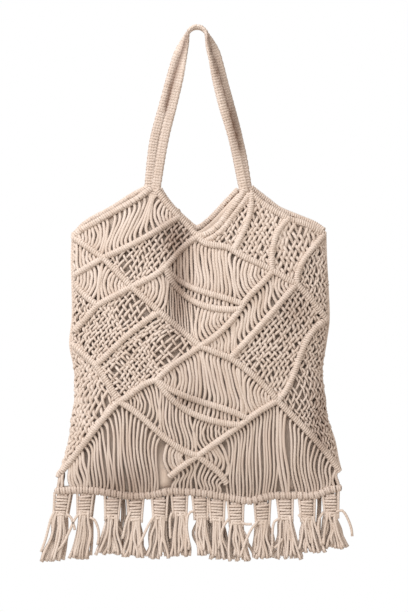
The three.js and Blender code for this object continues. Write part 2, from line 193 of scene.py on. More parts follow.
# %% Pattern map
KNOTS = dict(
    left_top=(-155, -268), right_top=(159.5, -264), v_bottom=(1, -267), peak=(62, -212), shoulder_row=(-119, -293),
    second_row=(-83, -330), third_row=(-47, -362), centre=(4, -405), fold_right=(95, -310),
    fork_right=(126, -326), right_mid=(163.5, -371), below_centre=(42, -420), right_cross=(102, -474),
    right_low=(180, -564), left_cross=(-99, -475), left_low=(-177, -572), low_cross=(1, -544),
    left_mid=(-157, -403), left_fork=(-128, -429), neck_left=(-23, -241), eye_left=(-41, -306),
    eye_right=(58, -352), eye_foot=(53, -358.5), low_eye_left=(-51, -448), low_eye_right=(65, -497),
    low_eye_foot=(53, -504.5), side_1=(-154, -314), side_2=(-154, -326), side_3=(-154, -386), side_fork=(-126, -353),
    rim_1=(69, -212), rim_1_end=(46, -284), rim_2=(117, -243), foot_left=(-34, -570), foot_right=(37, -579),
    edge_a=(-158, -356), edge_b=(-155, -480), edge_c=(166, -328), edge_d=(160, -448))
ROWS = [  # from, to, bow and lean where there is any
    ("left_top", "shoulder_row"), ("shoulder_row", "second_row"), ("second_row", "third_row"),
    ("third_row", "centre"), ("centre", "below_centre"), ("below_centre", "right_cross", 3),
    ("right_cross", "right_low", 3, -1), ("v_bottom", "rim_1_end", -2, -3), ("rim_1_end", "fold_right", 0, -1),
    ("fold_right", "fork_right", 0, 1), ("fork_right", "right_mid", 1), ("right_top", "fork_right", -6, 2),
    ("fork_right", "below_centre", 1), ("fold_right", "eye_right", 0, 1), ("eye_right", "centre", 5),
    ("centre", "low_eye_left", -2, 1), ("low_eye_left", "left_cross", -2, -2), ("left_cross", "left_low", -1, -1),
    ("eye_left", "eye_right", -7, -3), ("eye_left", "eye_foot", -19, -1), ("shoulder_row", "neck_left", -3),
    ("second_row", "eye_left", -2), ("eye_left", "v_bottom", 3, -1), ("shoulder_row", "side_1"),
    ("second_row", "side_fork"), ("side_fork", "side_3"), ("side_2", "side_fork", -2),
    ("third_row", "left_fork", -3, -1), ("left_mid", "left_fork"), ("left_fork", "left_cross", 1),
    ("left_cross", "low_cross", -3, 4), ("low_cross", "foot_right", 3, -1), ("right_cross", "low_eye_right", -1),
    ("low_eye_right", "low_cross"), ("low_cross", "foot_left", -1), ("right_cross", "right_mid", 4, -6),
    ("low_eye_left", "low_eye_right", -3, -3), ("low_eye_left", "low_eye_foot", -15, -1),
    ("rim_1", "rim_1_end", 6, 1), ("rim_2", "fold_right", -9, -1)]
RIMS = {
    FRONT: dict(
        left=[(-157, -268), (-149, -259), (-130, -248), (-107, -235), (-80, -220), (-60, -206)],
        neck=[(-51, -207), (-41, -221), (-32, -232), (-11, -253), (1, -265), (14, -262), (29, -250), (39, -237),
              (51, -221), (60, -208)],
        right=[(68, -210), (80, -221), (93, -230), (105, -237), (118, -244), (137, -250), (161, -262)]),
    BACK: dict(
        left=[(-157, -264), (-146, -251), (-135, -243), (-109, -229), (-84, -213), (-64, -202)],
        neck=[(-48, -205), (-39, -219), (-26, -233.5), (-12.5, -246), (-0.5, -254), (13, -246), (24, -235.5),
              (37, -221.5), (52, -205.5)],
        right=[(70, -203), (80, -211), (93, -221), (105, -230), (131, -241), (150, -249), (161, -257)])}
BASE_LINE = [(-180, -591), (-149, -589), (-117, -592), (-85, -597), (-60, -596), (-34, -591), (4, -593), (42, -599),
             (67, -603), (93, -597), (118, -596), (150, -596), (169, -589), (183, -587)]
print(len(KNOTS), "knots and", len(ROWS), "rows a panel")

# %% Lines through the map
def distances(points):
    """How far along a line each of its points is: the running sum of its steps."""
    return np.concatenate([[0], np.cumsum(np.linalg.norm(np.diff(points, axis=0), axis=1))])


def even(points, count):
    """The same line with count points, spaced evenly by length."""
    far = distances(points)
    want = np.linspace(0, far[-1], count)
    return stack(*[np.interp(want, far, column) for column in points.T])


def line_length(points):
    """Sum of a line's steps."""
    return float(distances(points)[-1])


def smooth(points, count=120):
    """Smooth line through points, each coordinate eased over the chords' length."""
    points = np.array(points, float)
    far = distances(points)
    want = np.linspace(0, far[-1], count)
    return even(stack(*[eased(far, column, want) for column in points.T]), count)


def stretch(points, start, end):
    """The part of a smooth line between two x values, in that order."""
    line, x = smooth(points, 240), np.linspace(start, end, 60)
    return stack(x, np.interp(x, *line.T))


def row_line(start, end, bow=0, lean=0):
    """A row: the straight line between two knots, pushed sideways by 4t(1-t)(bow + 4 lean (1/2 - t))."""
    a, b, t = np.array(KNOTS[start], float), np.array(KNOTS[end], float), np.linspace(0, 1, 41)[:, None]
    across = unit(np.array([-(b - a)[1], (b - a)[0]]))
    return a + (b - a) * t + across * 4 * t * (1 - t) * (bow + 4 * lean * (0.5 - t))


def between(last, stop):
    """The row that joins two knots, either way round, or else a straight line."""
    rows = [row_line(*r) for r in ROWS if r[:2] == (last, stop)]
    rows += [row_line(*r)[::-1] for r in ROWS if r[:2] == (stop, last)]
    return rows[0] if rows else row_line(last, stop)


def chain(*stops):
    """One line through knots by name. A line of points is taken as it is."""
    parts = []
    for last, stop in zip((None, *stops), stops):
        if isinstance(stop, np.ndarray):
            parts.append(stop)
        elif last is not None:
            parts.append(between(last, stop) if isinstance(last, str) else np.array([KNOTS[stop]], float))
    return even(np.concatenate(parts), 96)


print("rows", round(sum(line_length(row_line(*r)) for r in ROWS)), "mm long a panel")

# %% [markdown]
# ## Cords as tubes
# Every cord is a tube: a ring of points carried along a line. All tubes of one kind are worked out together,
# as one array of lines by points by ring, so there is no loop over vertices. Each tube keeps a UV map, with
# its length along U and its girth round V, which the finish needs to draw the twist and to paint shade on the
# underside. Each cord also gets its own tone, because no two lengths of cotton are quite the same colour, and
# each point a value of painted shade, or of painted light where it is under nothing.

# %% Painted shade and light
SHADING_SPOTS = [  # x, height, wide, tall and strength of the spots of painted shade, browner where the front folds and where shade falls, or, with a strength under nothing, of painted light, paler where it lies flat
    # or, with a strength under nothing, where it lies flat and has stayed pale
    (42, -378, 34, 30, -1.1), (-145, -467, 22, 46, -1.1), (67, -260, 30, 28, -1.0), (66, -535, 30, 44, -0.9),
    (-23, -335, 13, 58, 1.6), (-30, -266, 19, 22, 1.3), (125, -362, 20, 28, 0.8), (156, -508, 15, 60, 1.1),
    (-95, -582, 34, 26, 1.0), (0, -590, 200, 16, 0.5), (80, -585, 26, 40, 0.4), (-12, -474, 24, 9, 0.9),
    (-2, -445, 36, 18, 0.3), (50, -112, 11, 55, 1.1), (27, -55, 9, 22, 0.6), (-45, -130, 40, 120, 0.35)]
SHADED_SEAMS = [  # where the two handles lie side by side, with painted shade between them
    [(-13, -12), (-24.2, -44), (-33, -73), (-40, -100)], [(14, -14), (23, -44), (32.5, -76), (43.5, -110), (54, -150)]]
# width, height and strength of the spots of painted shade along each seam
SEAM_SHADE = 2.6, 9, 1.6
SHADING_SPOTS += [(x, z, *SEAM_SHADE) for seam in SHADED_SEAMS for x, z in even(np.array(seam, float), 11)]
HANDLE_FOOT = -190  # above this height both sides get the painted shade and light, so both handles do


def painted_shading(points):
    """How much painted shade a point gets, or painted light where it is negative: the sum of strength
    e^(-(x/wide)^2 - (z/tall)^2) about each spot, on the front and on both handles."""
    shade = [strength * spot(points[:, 0], points[:, 2], *place) for *place, strength in SHADING_SPOTS]
    return np.sum(shade, 0) * ((points[:, 1] < 0) | (points[:, 2] > HANDLE_FOOT))


# the count of spots of painted shade and painted light
print(len(SHADING_SPOTS), "browned or pale places")

# %% Tubes and meshes
chance = np.random.default_rng(21)
TINY = 1e-9
SIDES, RUN_SHIFT, TONE_SPREAD = 6, 0.05, 0.4  # a tube's sides, and how far cords differ in twist and in tone
CAP = np.array([(0, 1, 2, 3), (0, 3, 4, 5)])  # a ring of six is closed by two quads


def tubes(lines, outs, radius, core=False):
    """Round tubes along lines (cords, points, 3) or one line. Each ring is line + radius (cos a up + sin a across),
    with up the outward direction made square to the line. Gives points, quads, corner UVs, and by point the tone and
    the painted shading. V is the share of a turn from the top of the cord, by which the finish paints shade on the
    underside; it stays 0 where core is set, on cores and on some outer cords, so that no such shade is painted there."""
    lines, outs = (np.broadcast_to(a, lines.shape).reshape(-1, *lines.shape[-2:]) for a in (lines, outs))
    count, steps = lines.shape[:2]
    along = unit(np.gradient(lines, axis=1), TINY)
    across = unit(np.cross(along, outs), TINY)
    up = np.cross(across, along)
    turn = 2 * np.pi * (np.arange(SIDES) + 0.5) / SIDES
    ring = np.cos(turn)[:, None] * up[:, :, None] + np.sin(turn)[:, None] * across[:, :, None]
    girth = np.broadcast_to(np.asarray(radius, float), (count, steps))
    points = (lines[:, :, None] + girth[:, :, None, None] * ring).reshape(-1, 3)

    at = np.arange(count * steps * SIDES).reshape(count, steps, SIDES)
    near, far = np.roll(at, -1, 2)[:, :-1], np.roll(at, -1, 2)[:, 1:]
    walls = stack(at[:, :-1], near, far, at[:, 1:]).reshape(-1, 4)
    ends = np.concatenate([at[:, 0][:, CAP[:, ::-1]].reshape(-1, 4), at[:, -1][:, CAP].reshape(-1, 4)])

    run = np.cumsum(np.linalg.norm(np.diff(lines, axis=1, prepend=lines[:, :1]), axis=-1), 1) * MM
    run = run + chance.uniform(0, RUN_SHIFT, (count, 1))
    u0, u1 = (np.repeat(r[:, :, None], SIDES, 2) for r in (run[:, :-1], run[:, 1:]))
    v0 = np.broadcast_to((np.arange(SIDES) + 0.5) / SIDES, u0.shape)
    v0, v1 = (0 * v0, 0 * v0) if core else (v0, v0 + 1 / SIDES)
    wall_uv = np.stack([stack(u, v) for u, v in ((u0, v0), (u0, v1), (u1, v1), (u1, v0))], 3).reshape(-1, 4, 2)
    uv = np.concatenate([wall_uv, np.zeros((len(ends), 4, 2))])
    tones = np.repeat(chance.normal(0, TONE_SPREAD, count), steps * SIDES)
    return points, np.concatenate([walls, ends]), uv, stack(tones, painted_shading(points))


def make_mesh(name, parts, material, slot, *nodes):
    """Joins parts (points in mm, quads, UVs, tones and painted shading) into one smooth mesh object that stands for the
    nodes.
    """
    starts = np.cumsum([0] + [len(p[0]) for p in parts])
    points = np.concatenate([p[0] for p in parts]) * MM
    quads = np.concatenate([p[1] + s for p, s in zip(parts, starts)])
    mesh = bpy.data.meshes.new(name)
    mesh.vertices.add(len(points))
    mesh.loops.add(quads.size)
    mesh.polygons.add(len(quads))
    mesh.vertices.foreach_set("co", points.ravel())
    mesh.loops.foreach_set("vertex_index", quads.ravel().astype(np.int32))
    mesh.polygons.foreach_set("loop_start", np.arange(0, quads.size, 4, dtype=np.int32))
    mesh.polygons.foreach_set("use_smooth", np.ones(len(quads), bool))
    mesh.uv_layers.new(name="cord").data.foreach_set("uv", np.concatenate([p[2] for p in parts]).ravel())
    for column, attribute in enumerate(("tone", "painted_shading")):
        values = np.concatenate([p[3][:, column] for p in parts])
        mesh.attributes.new(attribute, "FLOAT", "POINT").data.foreach_set("value", values)
    mesh.update(calc_edges=True)
    mesh.materials.append(material)
    made = put(name, mesh)
    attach(made, "root")
    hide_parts(*nodes)
    print(name, 2 * len(quads), "triangles")
    return made


# %% [markdown]
# ## Cotton cord
# Natural cotton cord is undyed and unbleached: combed fibres spun into strands, and three strands laid into a
# soft cord. It gives the eye a matt warm cream with a fuzzy edge, a slanted groove every few millimetres, and
# small patches that are a little browner. The twist is drawn from the cord's own UV map, so it turns with
# every wrap and bend. The fuzz is sheen, a thin bright veil where the surface turns away.
# Shade and light are painted into the colour as well: each cord is browner on its underside, darker in its grooves and
# lighter on its ridges, and listed spots are browner as painted shade or paler as painted light.

# %% Colours and nodes
def linear(code):
    """An sRGB hex colour as linear red, green, blue and alpha: c/12.92 when dark, else ((c+0.055)/1.055)^2.4."""
    c = np.array([int(code[i:i + 2], 16) for i in (1, 3, 5)]) / 255
    return [*np.where(c <= 0.04045, c / 12.92, ((c + 0.055) / 1.055) ** 2.4), 1.0]


def node(tree, kind, values=None, links=None, **settings):
    """Adds one node, or takes one that is there: settings are its own options, values its fixed sockets, links what
    feeds its others. A node given as a link stands for its first output."""
    made = tree.nodes.new(kind) if isinstance(kind, str) else kind
    for name, value in settings.items():
        setattr(made, name, value)
    for key, value in (values or {}).items():
        made.inputs[key].default_value = value
    for key, source in (links or {}).items():
        tree.links.new(source.outputs[0] if isinstance(source, bpy.types.Node) else source, made.inputs[key])
    return made


def new_material(name):
    """An empty material with its tree and Principled shader."""
    material = bpy.data.materials.new(name)
    material.use_nodes = True
    return material, material.node_tree, material.node_tree.nodes["Principled BSDF"]


print("cream is", np.round(linear("#ddd0c6")[:3], 3), "in linear light")

# %% Cotton cord finish
STRAND_STEP = 0.0040  # metres along the cord from one groove of the lay to the next
FIBRE_WIDTH = 0.0014  # spun yarns in a strand, drawn coarse enough to show
PATCH_WIDTH = 0.030  # browner and paler stretches of the cotton
FIBRE_RELIEF, BUMP_STRENGTH, BUMP_DEPTH = 1.2, 0.40, 0.00035  # the yarns' height beside the grooves', and the bump
TONE_SHARE, GROOVE_SHADING = 0.30, 0.05  # how far a cord's own tone moves its colour, and how far painted shade and light follow the twist, darker in the grooves and lighter on the ridges
UNDERSIDE_SHADE = 0.92  # share of brown painted on a cord's underside as shade, which darkens the gaps between cords
UNDER_FROM, UNDER_FULL = 0.92, -0.3  # cosines of the turn from a cord's top where that painted shade begins and is full
SPOT_SHADE_TINT = 0.33  # share of painted brown shade that a spot of strength 1 adds, or takes away as painted light when negative

cotton_cord, tree, shader = new_material("natural_cotton_cord")
uv = node(tree, "ShaderNodeUVMap", uv_map="cord")
where = node(tree, "ShaderNodeTexCoord").outputs["Object"]
along_u, round_v, _ = node(tree, "ShaderNodeSeparateXYZ", links={0: uv}).outputs
lay_u = node(tree, "ShaderNodeMath", {1: 2 * np.pi / STRAND_STEP}, {0: along_u}, operation="MULTIPLY")
lay_uv = node(tree, "ShaderNodeMath", {1: 6 * np.pi}, {0: round_v, 2: lay_u}, operation="MULTIPLY_ADD")
groove = node(tree, "ShaderNodeMath", links={0: lay_uv}, operation="SINE")
fibre = node(tree, "ShaderNodeTexNoise", {"Scale": 1 / FIBRE_WIDTH, "Detail": 2.0, "Roughness": 0.6}, {"Vector": where})
relief = node(tree, "ShaderNodeMath", {1: FIBRE_RELIEF}, {0: fibre.outputs["Fac"], 2: groove}, operation="MULTIPLY_ADD")
bump = node(tree, "ShaderNodeBump", {"Strength": BUMP_STRENGTH, "Distance": BUMP_DEPTH}, {"Height": relief})
patch = node(tree, "ShaderNodeTexNoise", {"Scale": 1 / PATCH_WIDTH, "Detail": 3.0}, {"Vector": where})
tone = node(tree, "ShaderNodeAttribute", attribute_name="tone").outputs["Fac"]
blend = node(tree, "ShaderNodeMath", {1: TONE_SHARE}, {0: tone, 2: patch.outputs["Fac"]}, operation="MULTIPLY_ADD")
# painted shade and light along the twist: the colour darker in each groove, lighter on the ridges
groove_shaded = node(tree, "ShaderNodeMath", {1: GROOVE_SHADING}, {0: groove, 2: blend}, operation="MULTIPLY_ADD")
cream = node(tree, "ShaderNodeValToRGB", links={0: groove_shaded})
for stop, place, code in zip(cream.color_ramp.elements, (0.15, 0.80), ("#cfbfb2", "#ddd0c6")):
    stop.position, stop.color = place, linear(code)
turn = node(tree, "ShaderNodeMath", {1: 2 * np.pi}, {0: round_v}, operation="MULTIPLY")
topside = node(tree, "ShaderNodeMath", links={0: turn}, operation="COSINE")
# painted shade: brown on each cord's underside, growing with the turn round it away from its top
under = node(tree, "ShaderNodeMapRange", {"From Min": UNDER_FROM, "From Max": UNDER_FULL, "To Min": 0.0,
                                          "To Max": UNDERSIDE_SHADE}, {"Value": topside}, interpolation_type="SMOOTHSTEP")
# painted shade, or painted light where negative, from the listed spots, added to the underside shade
spot_shading = node(tree, "ShaderNodeAttribute", attribute_name="painted_shading").outputs["Fac"]
shade_share = node(tree, "ShaderNodeMath", {1: SPOT_SHADE_TINT}, {0: spot_shading, 2: under}, operation="MULTIPLY_ADD",
               use_clamp=True)
# the cream, mixed toward brown by the share of painted shade
shaded_cream = node(tree, "ShaderNodeMix", {7: linear("#5f381c")}, {0: shade_share, 6: cream}, data_type="RGBA")
node(tree, shader, {"Roughness": 0.92, "IOR": 1.5, "Specular IOR Level": 0.2, "Sheen Weight": 0.10,
                    "Sheen Roughness": 0.5}, {"Base Color": shaded_cream.outputs[2], "Normal": bump})
print("cotton cord grooves every", STRAND_STEP / MM, "mm")

# %% [markdown]
# ## Hitch rows
# A row is a double half hitch bar: one carrier cord lies along the line, and every other cord is wrapped round
# it twice before it goes on. It reads as a raised rope of close, slightly slanted wraps. Each wrap is one arc of
# tube from under the carrier, over it and under again, and the carrier itself fills the gaps.

# %% Hitch rows
WRAP_STEP, WRAP_RADIUS, WRAP_REACH, ROW_RISE, ROW_CORE = 2.75, 1.8, 2.6, 2.0, 3.6
ROW_TURN, ROW_SLANT = np.radians(140), 0.9  # how far a wrap goes round to each side, and how far it leans along
REACH_SHAKE, SLANT_SHAKE = 0.03, 0.25


def squared(v, to):
    """What is left of directions v when they are made square to others, at length 1."""
    return unit(v - to * np.sum(v * to, -1, keepdims=True))


def frames(flat, side, height):
    """Points on a panel along a flat line, with their outward, along and across directions."""
    at, out = lay(flat, side, height)
    along = squared(np.gradient(at, axis=0), out)
    return at, out, along, np.cross(along, out)


def wraps(at, out, along, across, reach, radius, half_turn, slant, steps=9, turned=0.0, core=False):
    """Wraps round a carrier: arcs at + reach (cos b out + sin b across) + slant a/half_turn along, for a from
    -half_turn to half_turn and b = a + turned. Each is shaken a little."""
    a = np.linspace(-half_turn, half_turn, steps)[:, None]
    size = reach * (1 + chance.normal(0, REACH_SHAKE, (len(at), 1, 1)))
    lean = slant * (1 + chance.normal(0, SLANT_SHAKE, (len(at), 1, 1)))
    radial = np.cos(a + turned) * out[:, None] + np.sin(a + turned) * across[:, None]
    lines = at[:, None] + size * radial + along[:, None] * lean * a / half_turn
    return tubes(lines, radial, radius, core)


def rope(line, side, rise, reach, radius, core_points, core_radius, *turns):
    """A row on a panel: wraps every WRAP_STEP along a flat line, and the carrier under them."""
    count = round(line_length(line) / WRAP_STEP)
    wrapped = wraps(*frames(even(line, count), side, rise), reach, radius, *turns)
    carrier, up = lay(even(line, core_points), side, rise)
    return [wrapped, tubes(carrier, up, core_radius, core=True)]


def cord_piece(name, parts, *nodes):
    """One piece of the bag that is made of the cotton cord."""
    make_mesh(name, parts, cotton_cord, "cotton_cord", *nodes)


for side, word in PANELS.items():
    rows = [rope(row_line(*row), side, ROW_RISE, WRAP_REACH, WRAP_RADIUS, 12, ROW_CORE, ROW_TURN, ROW_SLANT)
            for row in ROWS]
    cord_piece(f"{word}_hitch_rows", sum(rows, []), f"{word}_panel")

# %% [markdown]
# ## Laid cords
# Between two rows that spread apart, the cords run free side by side, like the strings of a harp. Each leaves
# its row square to it, because it comes out of a wrap, then bends over to meet the next row square too. A cubic
# with those end directions gives the bend, and a little sway keeps them from looking combed.

# %% Fields of laid cords
CORD_PITCH, LOOSE_PITCH, EYE_PITCH, FOLD_PITCH, HEM_PITCH = 4.3, 4.4, 5.3, 3.3, 4.0
RIM_GAP = 2.5  # how far under the back's edge its cords and nets begin


def hem(start, end):
    """Part of the bottom row's line between two x values."""
    return stretch(BASE_LINE, start, end)


def rim(side, edge, start, end):
    """Part of a mouth edge between two x values, let down on the back by what lay lifts it and a little more."""
    return stretch(RIMS[side][edge], start, end) - [0, BACK_LIFT + RIM_GAP if side == BACK else 0]


def part(line, start, end):
    """The stretch of a line between two shares of its length."""
    return even(line, 401)[round(400 * start):round(400 * end) + 1]


def straight_under(upper, lower):
    """The points of a lower line that are straight under those of an upper one."""
    return stack(upper[:, 0] + 1, np.interp(upper[:, 0] + 1, *lower.T))


def path(side, words, *span):
    """A line through knots by name, or its stretch between two shares of its length. A name with two numbers is the
    part of that mouth edge between two x values."""
    stops = [word.split(":") for word in words.split()]
    line = chain(*[rim(side, stop[0], *map(float, stop[1:])) if stop[1:] else stop[0] for stop in stops])
    return part(line, *span) if span else line


def laid_zones(side):
    """Upper and lower lines that laid cords run between, left to right, then their pitch where they are not close,
    how strongly they turn to meet the lower line, and how far they lie behind the rows."""
    row = lambda words, *span: path(side, words, *span)
    last = RIMS[side]["left"][-1][0]
    shoulder = row("left_top shoulder_row neck_left")
    left_foot, right_foot = row("left_cross low_cross"), row("low_cross low_eye_right right_cross")
    left_side, right_side = row("left_low left_cross"), row("right_cross right_low")
    eye_foot, by_low_eye = row("eye_left eye_foot"), row("low_eye_left low_eye_right right_cross")
    low_eye_foot = row("low_eye_left low_eye_foot")
    over_low_eye = row("low_eye_left centre below_centre right_cross")
    slack, under_fold = row("centre eye_right", 0.66, 0.78), row("centre below_centre fork_right")
    by_eye, above_fold = row("eye_left v_bottom", 0.12, 0.97), row("second_row third_row centre")
    eye = row("eye_left eye_right", 0.08, 0.94)
    low_eye = row("low_eye_left low_eye_right", 0.08, 0.9)
    return [
        (rim(side, "left", -157, last), part(shoulder, 0, 0.61)),
        (chain(rim(side, "left", last - 4, last), rim(side, "neck", -52, -47)), part(shoulder, 0.62, 0.79)),
        (rim(side, "neck", -46, -23), part(shoulder, 0.80, 1)),
        (row("left_top shoulder_row"), row("side_1 shoulder_row")),
        (row("side_1 shoulder_row second_row"), row("side_2 side_fork second_row")),
        (by_eye, straight_under(by_eye, row("eye_left eye_right")), CORD_PITCH, 1.0, 0.3),
        (row("v_bottom rim_1_end fold_right"), chain(part(eye, 0.40, 1), "fold_right")),
        (eye, straight_under(eye, eye_foot), EYE_PITCH, 1.0, 0.8),
        (row("second_row eye_left"), part(above_fold, 0, 0.44)),
        (part(eye_foot, 0.02, 0.52), part(above_fold, 0.46, 0.98), FOLD_PITCH, 1.0, 0.3),
        (part(eye_foot, 0.56, 1), row("centre eye_foot")),
        (row("centre eye_right fold_right fork_right"), under_fold),
        (slack, straight_under(slack, under_fold), CORD_PITCH, 1.0, 0.3),
        (part(over_low_eye, 0, 0.64), part(by_low_eye, 0, 0.70)),
        (part(over_low_eye, 0.62, 0.70), part(by_low_eye, 0.685, 0.71), CORD_PITCH, 1.0, 0.3),
        (part(over_low_eye, 0.64, 1), part(by_low_eye, 0.70, 1)),
        (low_eye, straight_under(low_eye, low_eye_foot), EYE_PITCH, 1.0, 0.8),
        (row("left_cross low_eye_left"), part(left_foot, 0, 0.52), LOOSE_PITCH),
        (part(low_eye_foot, 0.02, 0.50), part(left_foot, 0.54, 1), LOOSE_PITCH, 0.9, 0.3),
        (part(low_eye_foot, 0.54, 1), row("low_cross low_eye_foot"), LOOSE_PITCH),
        (part(left_side, 0.0, 0.09), hem(-181, -170)),
        (part(left_side, 0.12, 0.38), hem(-161, -139), CORD_PITCH, 0.3),
        (part(left_side, 0.39, 0.70), hem(-138, -113), LOOSE_PITCH, 0.3),
        (part(left_side, 0.72, 0.76), hem(-111, -107), LOOSE_PITCH, 0.3),
        (chain(part(left_side, 0.78, 0.98), part(left_foot, 0.02, 0.60)), hem(-104, -48), LOOSE_PITCH, 0.3),
        (part(left_foot, 0.66, 1), row("foot_left low_cross")),
        (row("foot_left low_cross foot_right"), hem(-34, 31), LOOSE_PITCH, 0.3),
        (part(right_foot, 0, 0.3), row("low_cross foot_right")),
        (part(right_foot, 0.32, 1), hem(36, 101), HEM_PITCH, 0.2),
        (part(right_side, 0.02, 0.2), hem(109, 119), CORD_PITCH, 0.2),
        (part(right_side, 0.22, 0.93), hem(125, 170), LOOSE_PITCH, 0.3),
        (part(right_side, 0.94, 1), hem(173, 181), CORD_PITCH, 0.3)]


print(len(laid_zones(FRONT)), "fields of laid cords a panel")

# %% Laid cords
CORD_POINTS, SWEEP = 19, 42.0
CLOSE_GIRTH, LOOSE_GIRTH = 0.57, 0.44  # a cord's radius as a share of its pitch, where cords touch and where not
HOOK, HOOK_REACH = 3.2, 8.0  # the short bend close to a row, and how far from the row it is widest
TOGETHER = 2.0  # how far the long cords at the bottom sway to the side, all as one
FACING = 0.8  # how far the tops of cords at the sides turn to the front or back
EASE = np.hanning(23)[1:-1] / np.hanning(23).sum()  # cords on both sides of a knot share a direction
SWAY, RIPPLE, LIFT, SHORTEST = 0.45, 0.35, 0.55, 4.5  # how far cords stray to the side and out, and the least length
SIDE_EASE = 25.0  # cords closer than this to the bag's side bend less, so that they stay on it
FACE_FROM, FACE_FULL, FACE_LEAST = 0.4, 0.65, 0.15  # cosines of a cord with its row's square, and the least bend
HOOK_FROM, HOOK_FULL = 15, 55  # lengths of cord over which the short bend comes in
STATIONS, PITCH_SHAKE = 97, 0.06  # places along a field's edges, and how far cords stray from even spacing
TUCK = 1.5  # how far cords dive under the rows they come from


def below(line, guard=0.0):
    """Directions square to a flat line, to the right of its course, which is down where it runs left to right."""
    across, fall = np.gradient(line, axis=0).T
    return unit(stack(fall, -across), guard)


def laid(side, upper, lower, pitch=CORD_PITCH, meeting=1.0, sink=0.0):
    """Cords from one line down to another: cubics whose ends leave both lines square to them, eased past knots, or
    run straight where they lie behind the rows, with a further bend HOOK (d/r) e^(1 - d/r) at d mm from a row.
    The less they face the rows the less they bend. They are spaced by the width of the field half-way down,
    measured square to the cords, and dive under the rows they come from. Loose cords sway together. Spacing, sway
    and height are shaken a little."""
    dense, columns = np.linspace(0, 1, STATIONS), []
    for line in (even(upper, STATIONS), even(lower, STATIONS)):
        square = np.pad(below(line, TINY), ((10, 10), (0, 0)), "edge")
        columns += [line, stack(*[np.convolve(c, EASE, "valid") for c in square.T]) * (sink == 0)]
    a, leave, b, meet = columns
    gap = np.linalg.norm(b - a, axis=1)
    middle, half, _, _ = oval(a[:, 1])
    inside = np.clip((half - np.abs(a[:, 0] - middle)) / SIDE_EASE, 0.1, 1)
    facing = np.sum((leave + meet) / 2 * (b - a), 1) / (gap + TINY)
    facing = np.clip((facing - FACE_FROM) / (FACE_FULL - FACE_FROM), FACE_LEAST, 1)
    pull = (np.minimum(1.15 * gap, SWEEP) * inside * facing)[:, None]
    course = 1.5 * (b - a) - pull / 4 * (leave + meeting * meet)
    course = unit(course, TINY)[1:]
    step = np.diff((a + b) / 2 + pull / 8 * (leave - meeting * meet), axis=0)
    width = np.abs(step[:, 0] * course[:, 1] - step[:, 1] * course[:, 0]) + 1e-6
    width = np.concatenate([[0], np.cumsum(width)])
    count = max(2, round(width[-1] / pitch))
    share = (np.arange(count) + 0.5 + chance.normal(0, PITCH_SHAKE, count)) / count
    share = np.interp(share * width[-1], width, dense)
    share = share[np.interp(share, dense, gap) > SHORTEST]
    a, leave, b, meet, pull, inside, long = (
        stack(*[np.interp(share, dense, c) for c in kind.T])[:, None]
        for kind in (a, leave, b, meet, pull, inside[:, None], gap[:, None]))
    t = 0.5 - 0.5 * np.cos(np.pi * np.linspace(0, 1, CORD_POINTS))[:, None]
    reach = np.minimum(HOOK_REACH, 0.2 * long)
    hook = HOOK * inside * np.clip((long - HOOK_FROM) / (HOOK_FULL - HOOK_FROM), 0, 1)
    bend, unbend = (hook * s * np.exp(1 - s) for s in (t * long / reach, (1 - t) * long / reach))
    flat = (a * (1 + 2 * t) * (1 - t) ** 2 + b * t * t * (3 - 2 * t)
            + leave * (pull * t * (1 - t) ** 2 + bend) + meeting * meet * (pull * t * t * (t - 1) - unbend))
    belly = np.sin(np.pi * t[:, 0])
    sway = chance.normal(0, SWAY, (len(a), 1, 2)) * belly[:, None] ** 2
    if meeting < 1:
        together = np.sin(2 * np.pi * (1.15 * t[:, 0] + 0.5 * share[:, None])) * belly
        sway = sway + TOGETHER * together[..., None] * [1, 0]
    ripple = RIPPLE * np.sin(2 * np.pi * (t[:, 0] * 2.2 + chance.uniform(0, 1, (len(a), 1))))
    lift = chance.normal(0.1, LIFT, (len(a), 1)) * belly - TUCK * (1 - belly) ** 3 - sink
    at, out = lay(flat + sway + ripple[..., None] * [1, 0], side, lift)
    out = out + [0, side * FACING, 0]
    return tubes(at, out, pitch * (CLOSE_GIRTH if pitch == CORD_PITCH else LOOSE_GIRTH))


for side, word in PANELS.items():
    cord_piece(f"{word}_laid_cords", [laid(side, *zone) for zone in laid_zones(side)], f"{word}_panel")

# %% [markdown]
# ## Netting
# The fields between the rows are netted: every cord runs down the bag, half of them leaning right and half left,
# and they pass over and under each other. Counting the cords of both kinds gives a slanted grid, so a pair of
# counts names a crossing. The grid is drawn over the whole bag, crowded toward the sides where the wall turns away,
# let out in the places where the net is slack, and each cord is kept from where it enters its field to where it
# leaves it. A cosine lifts one kind where it drops the other.

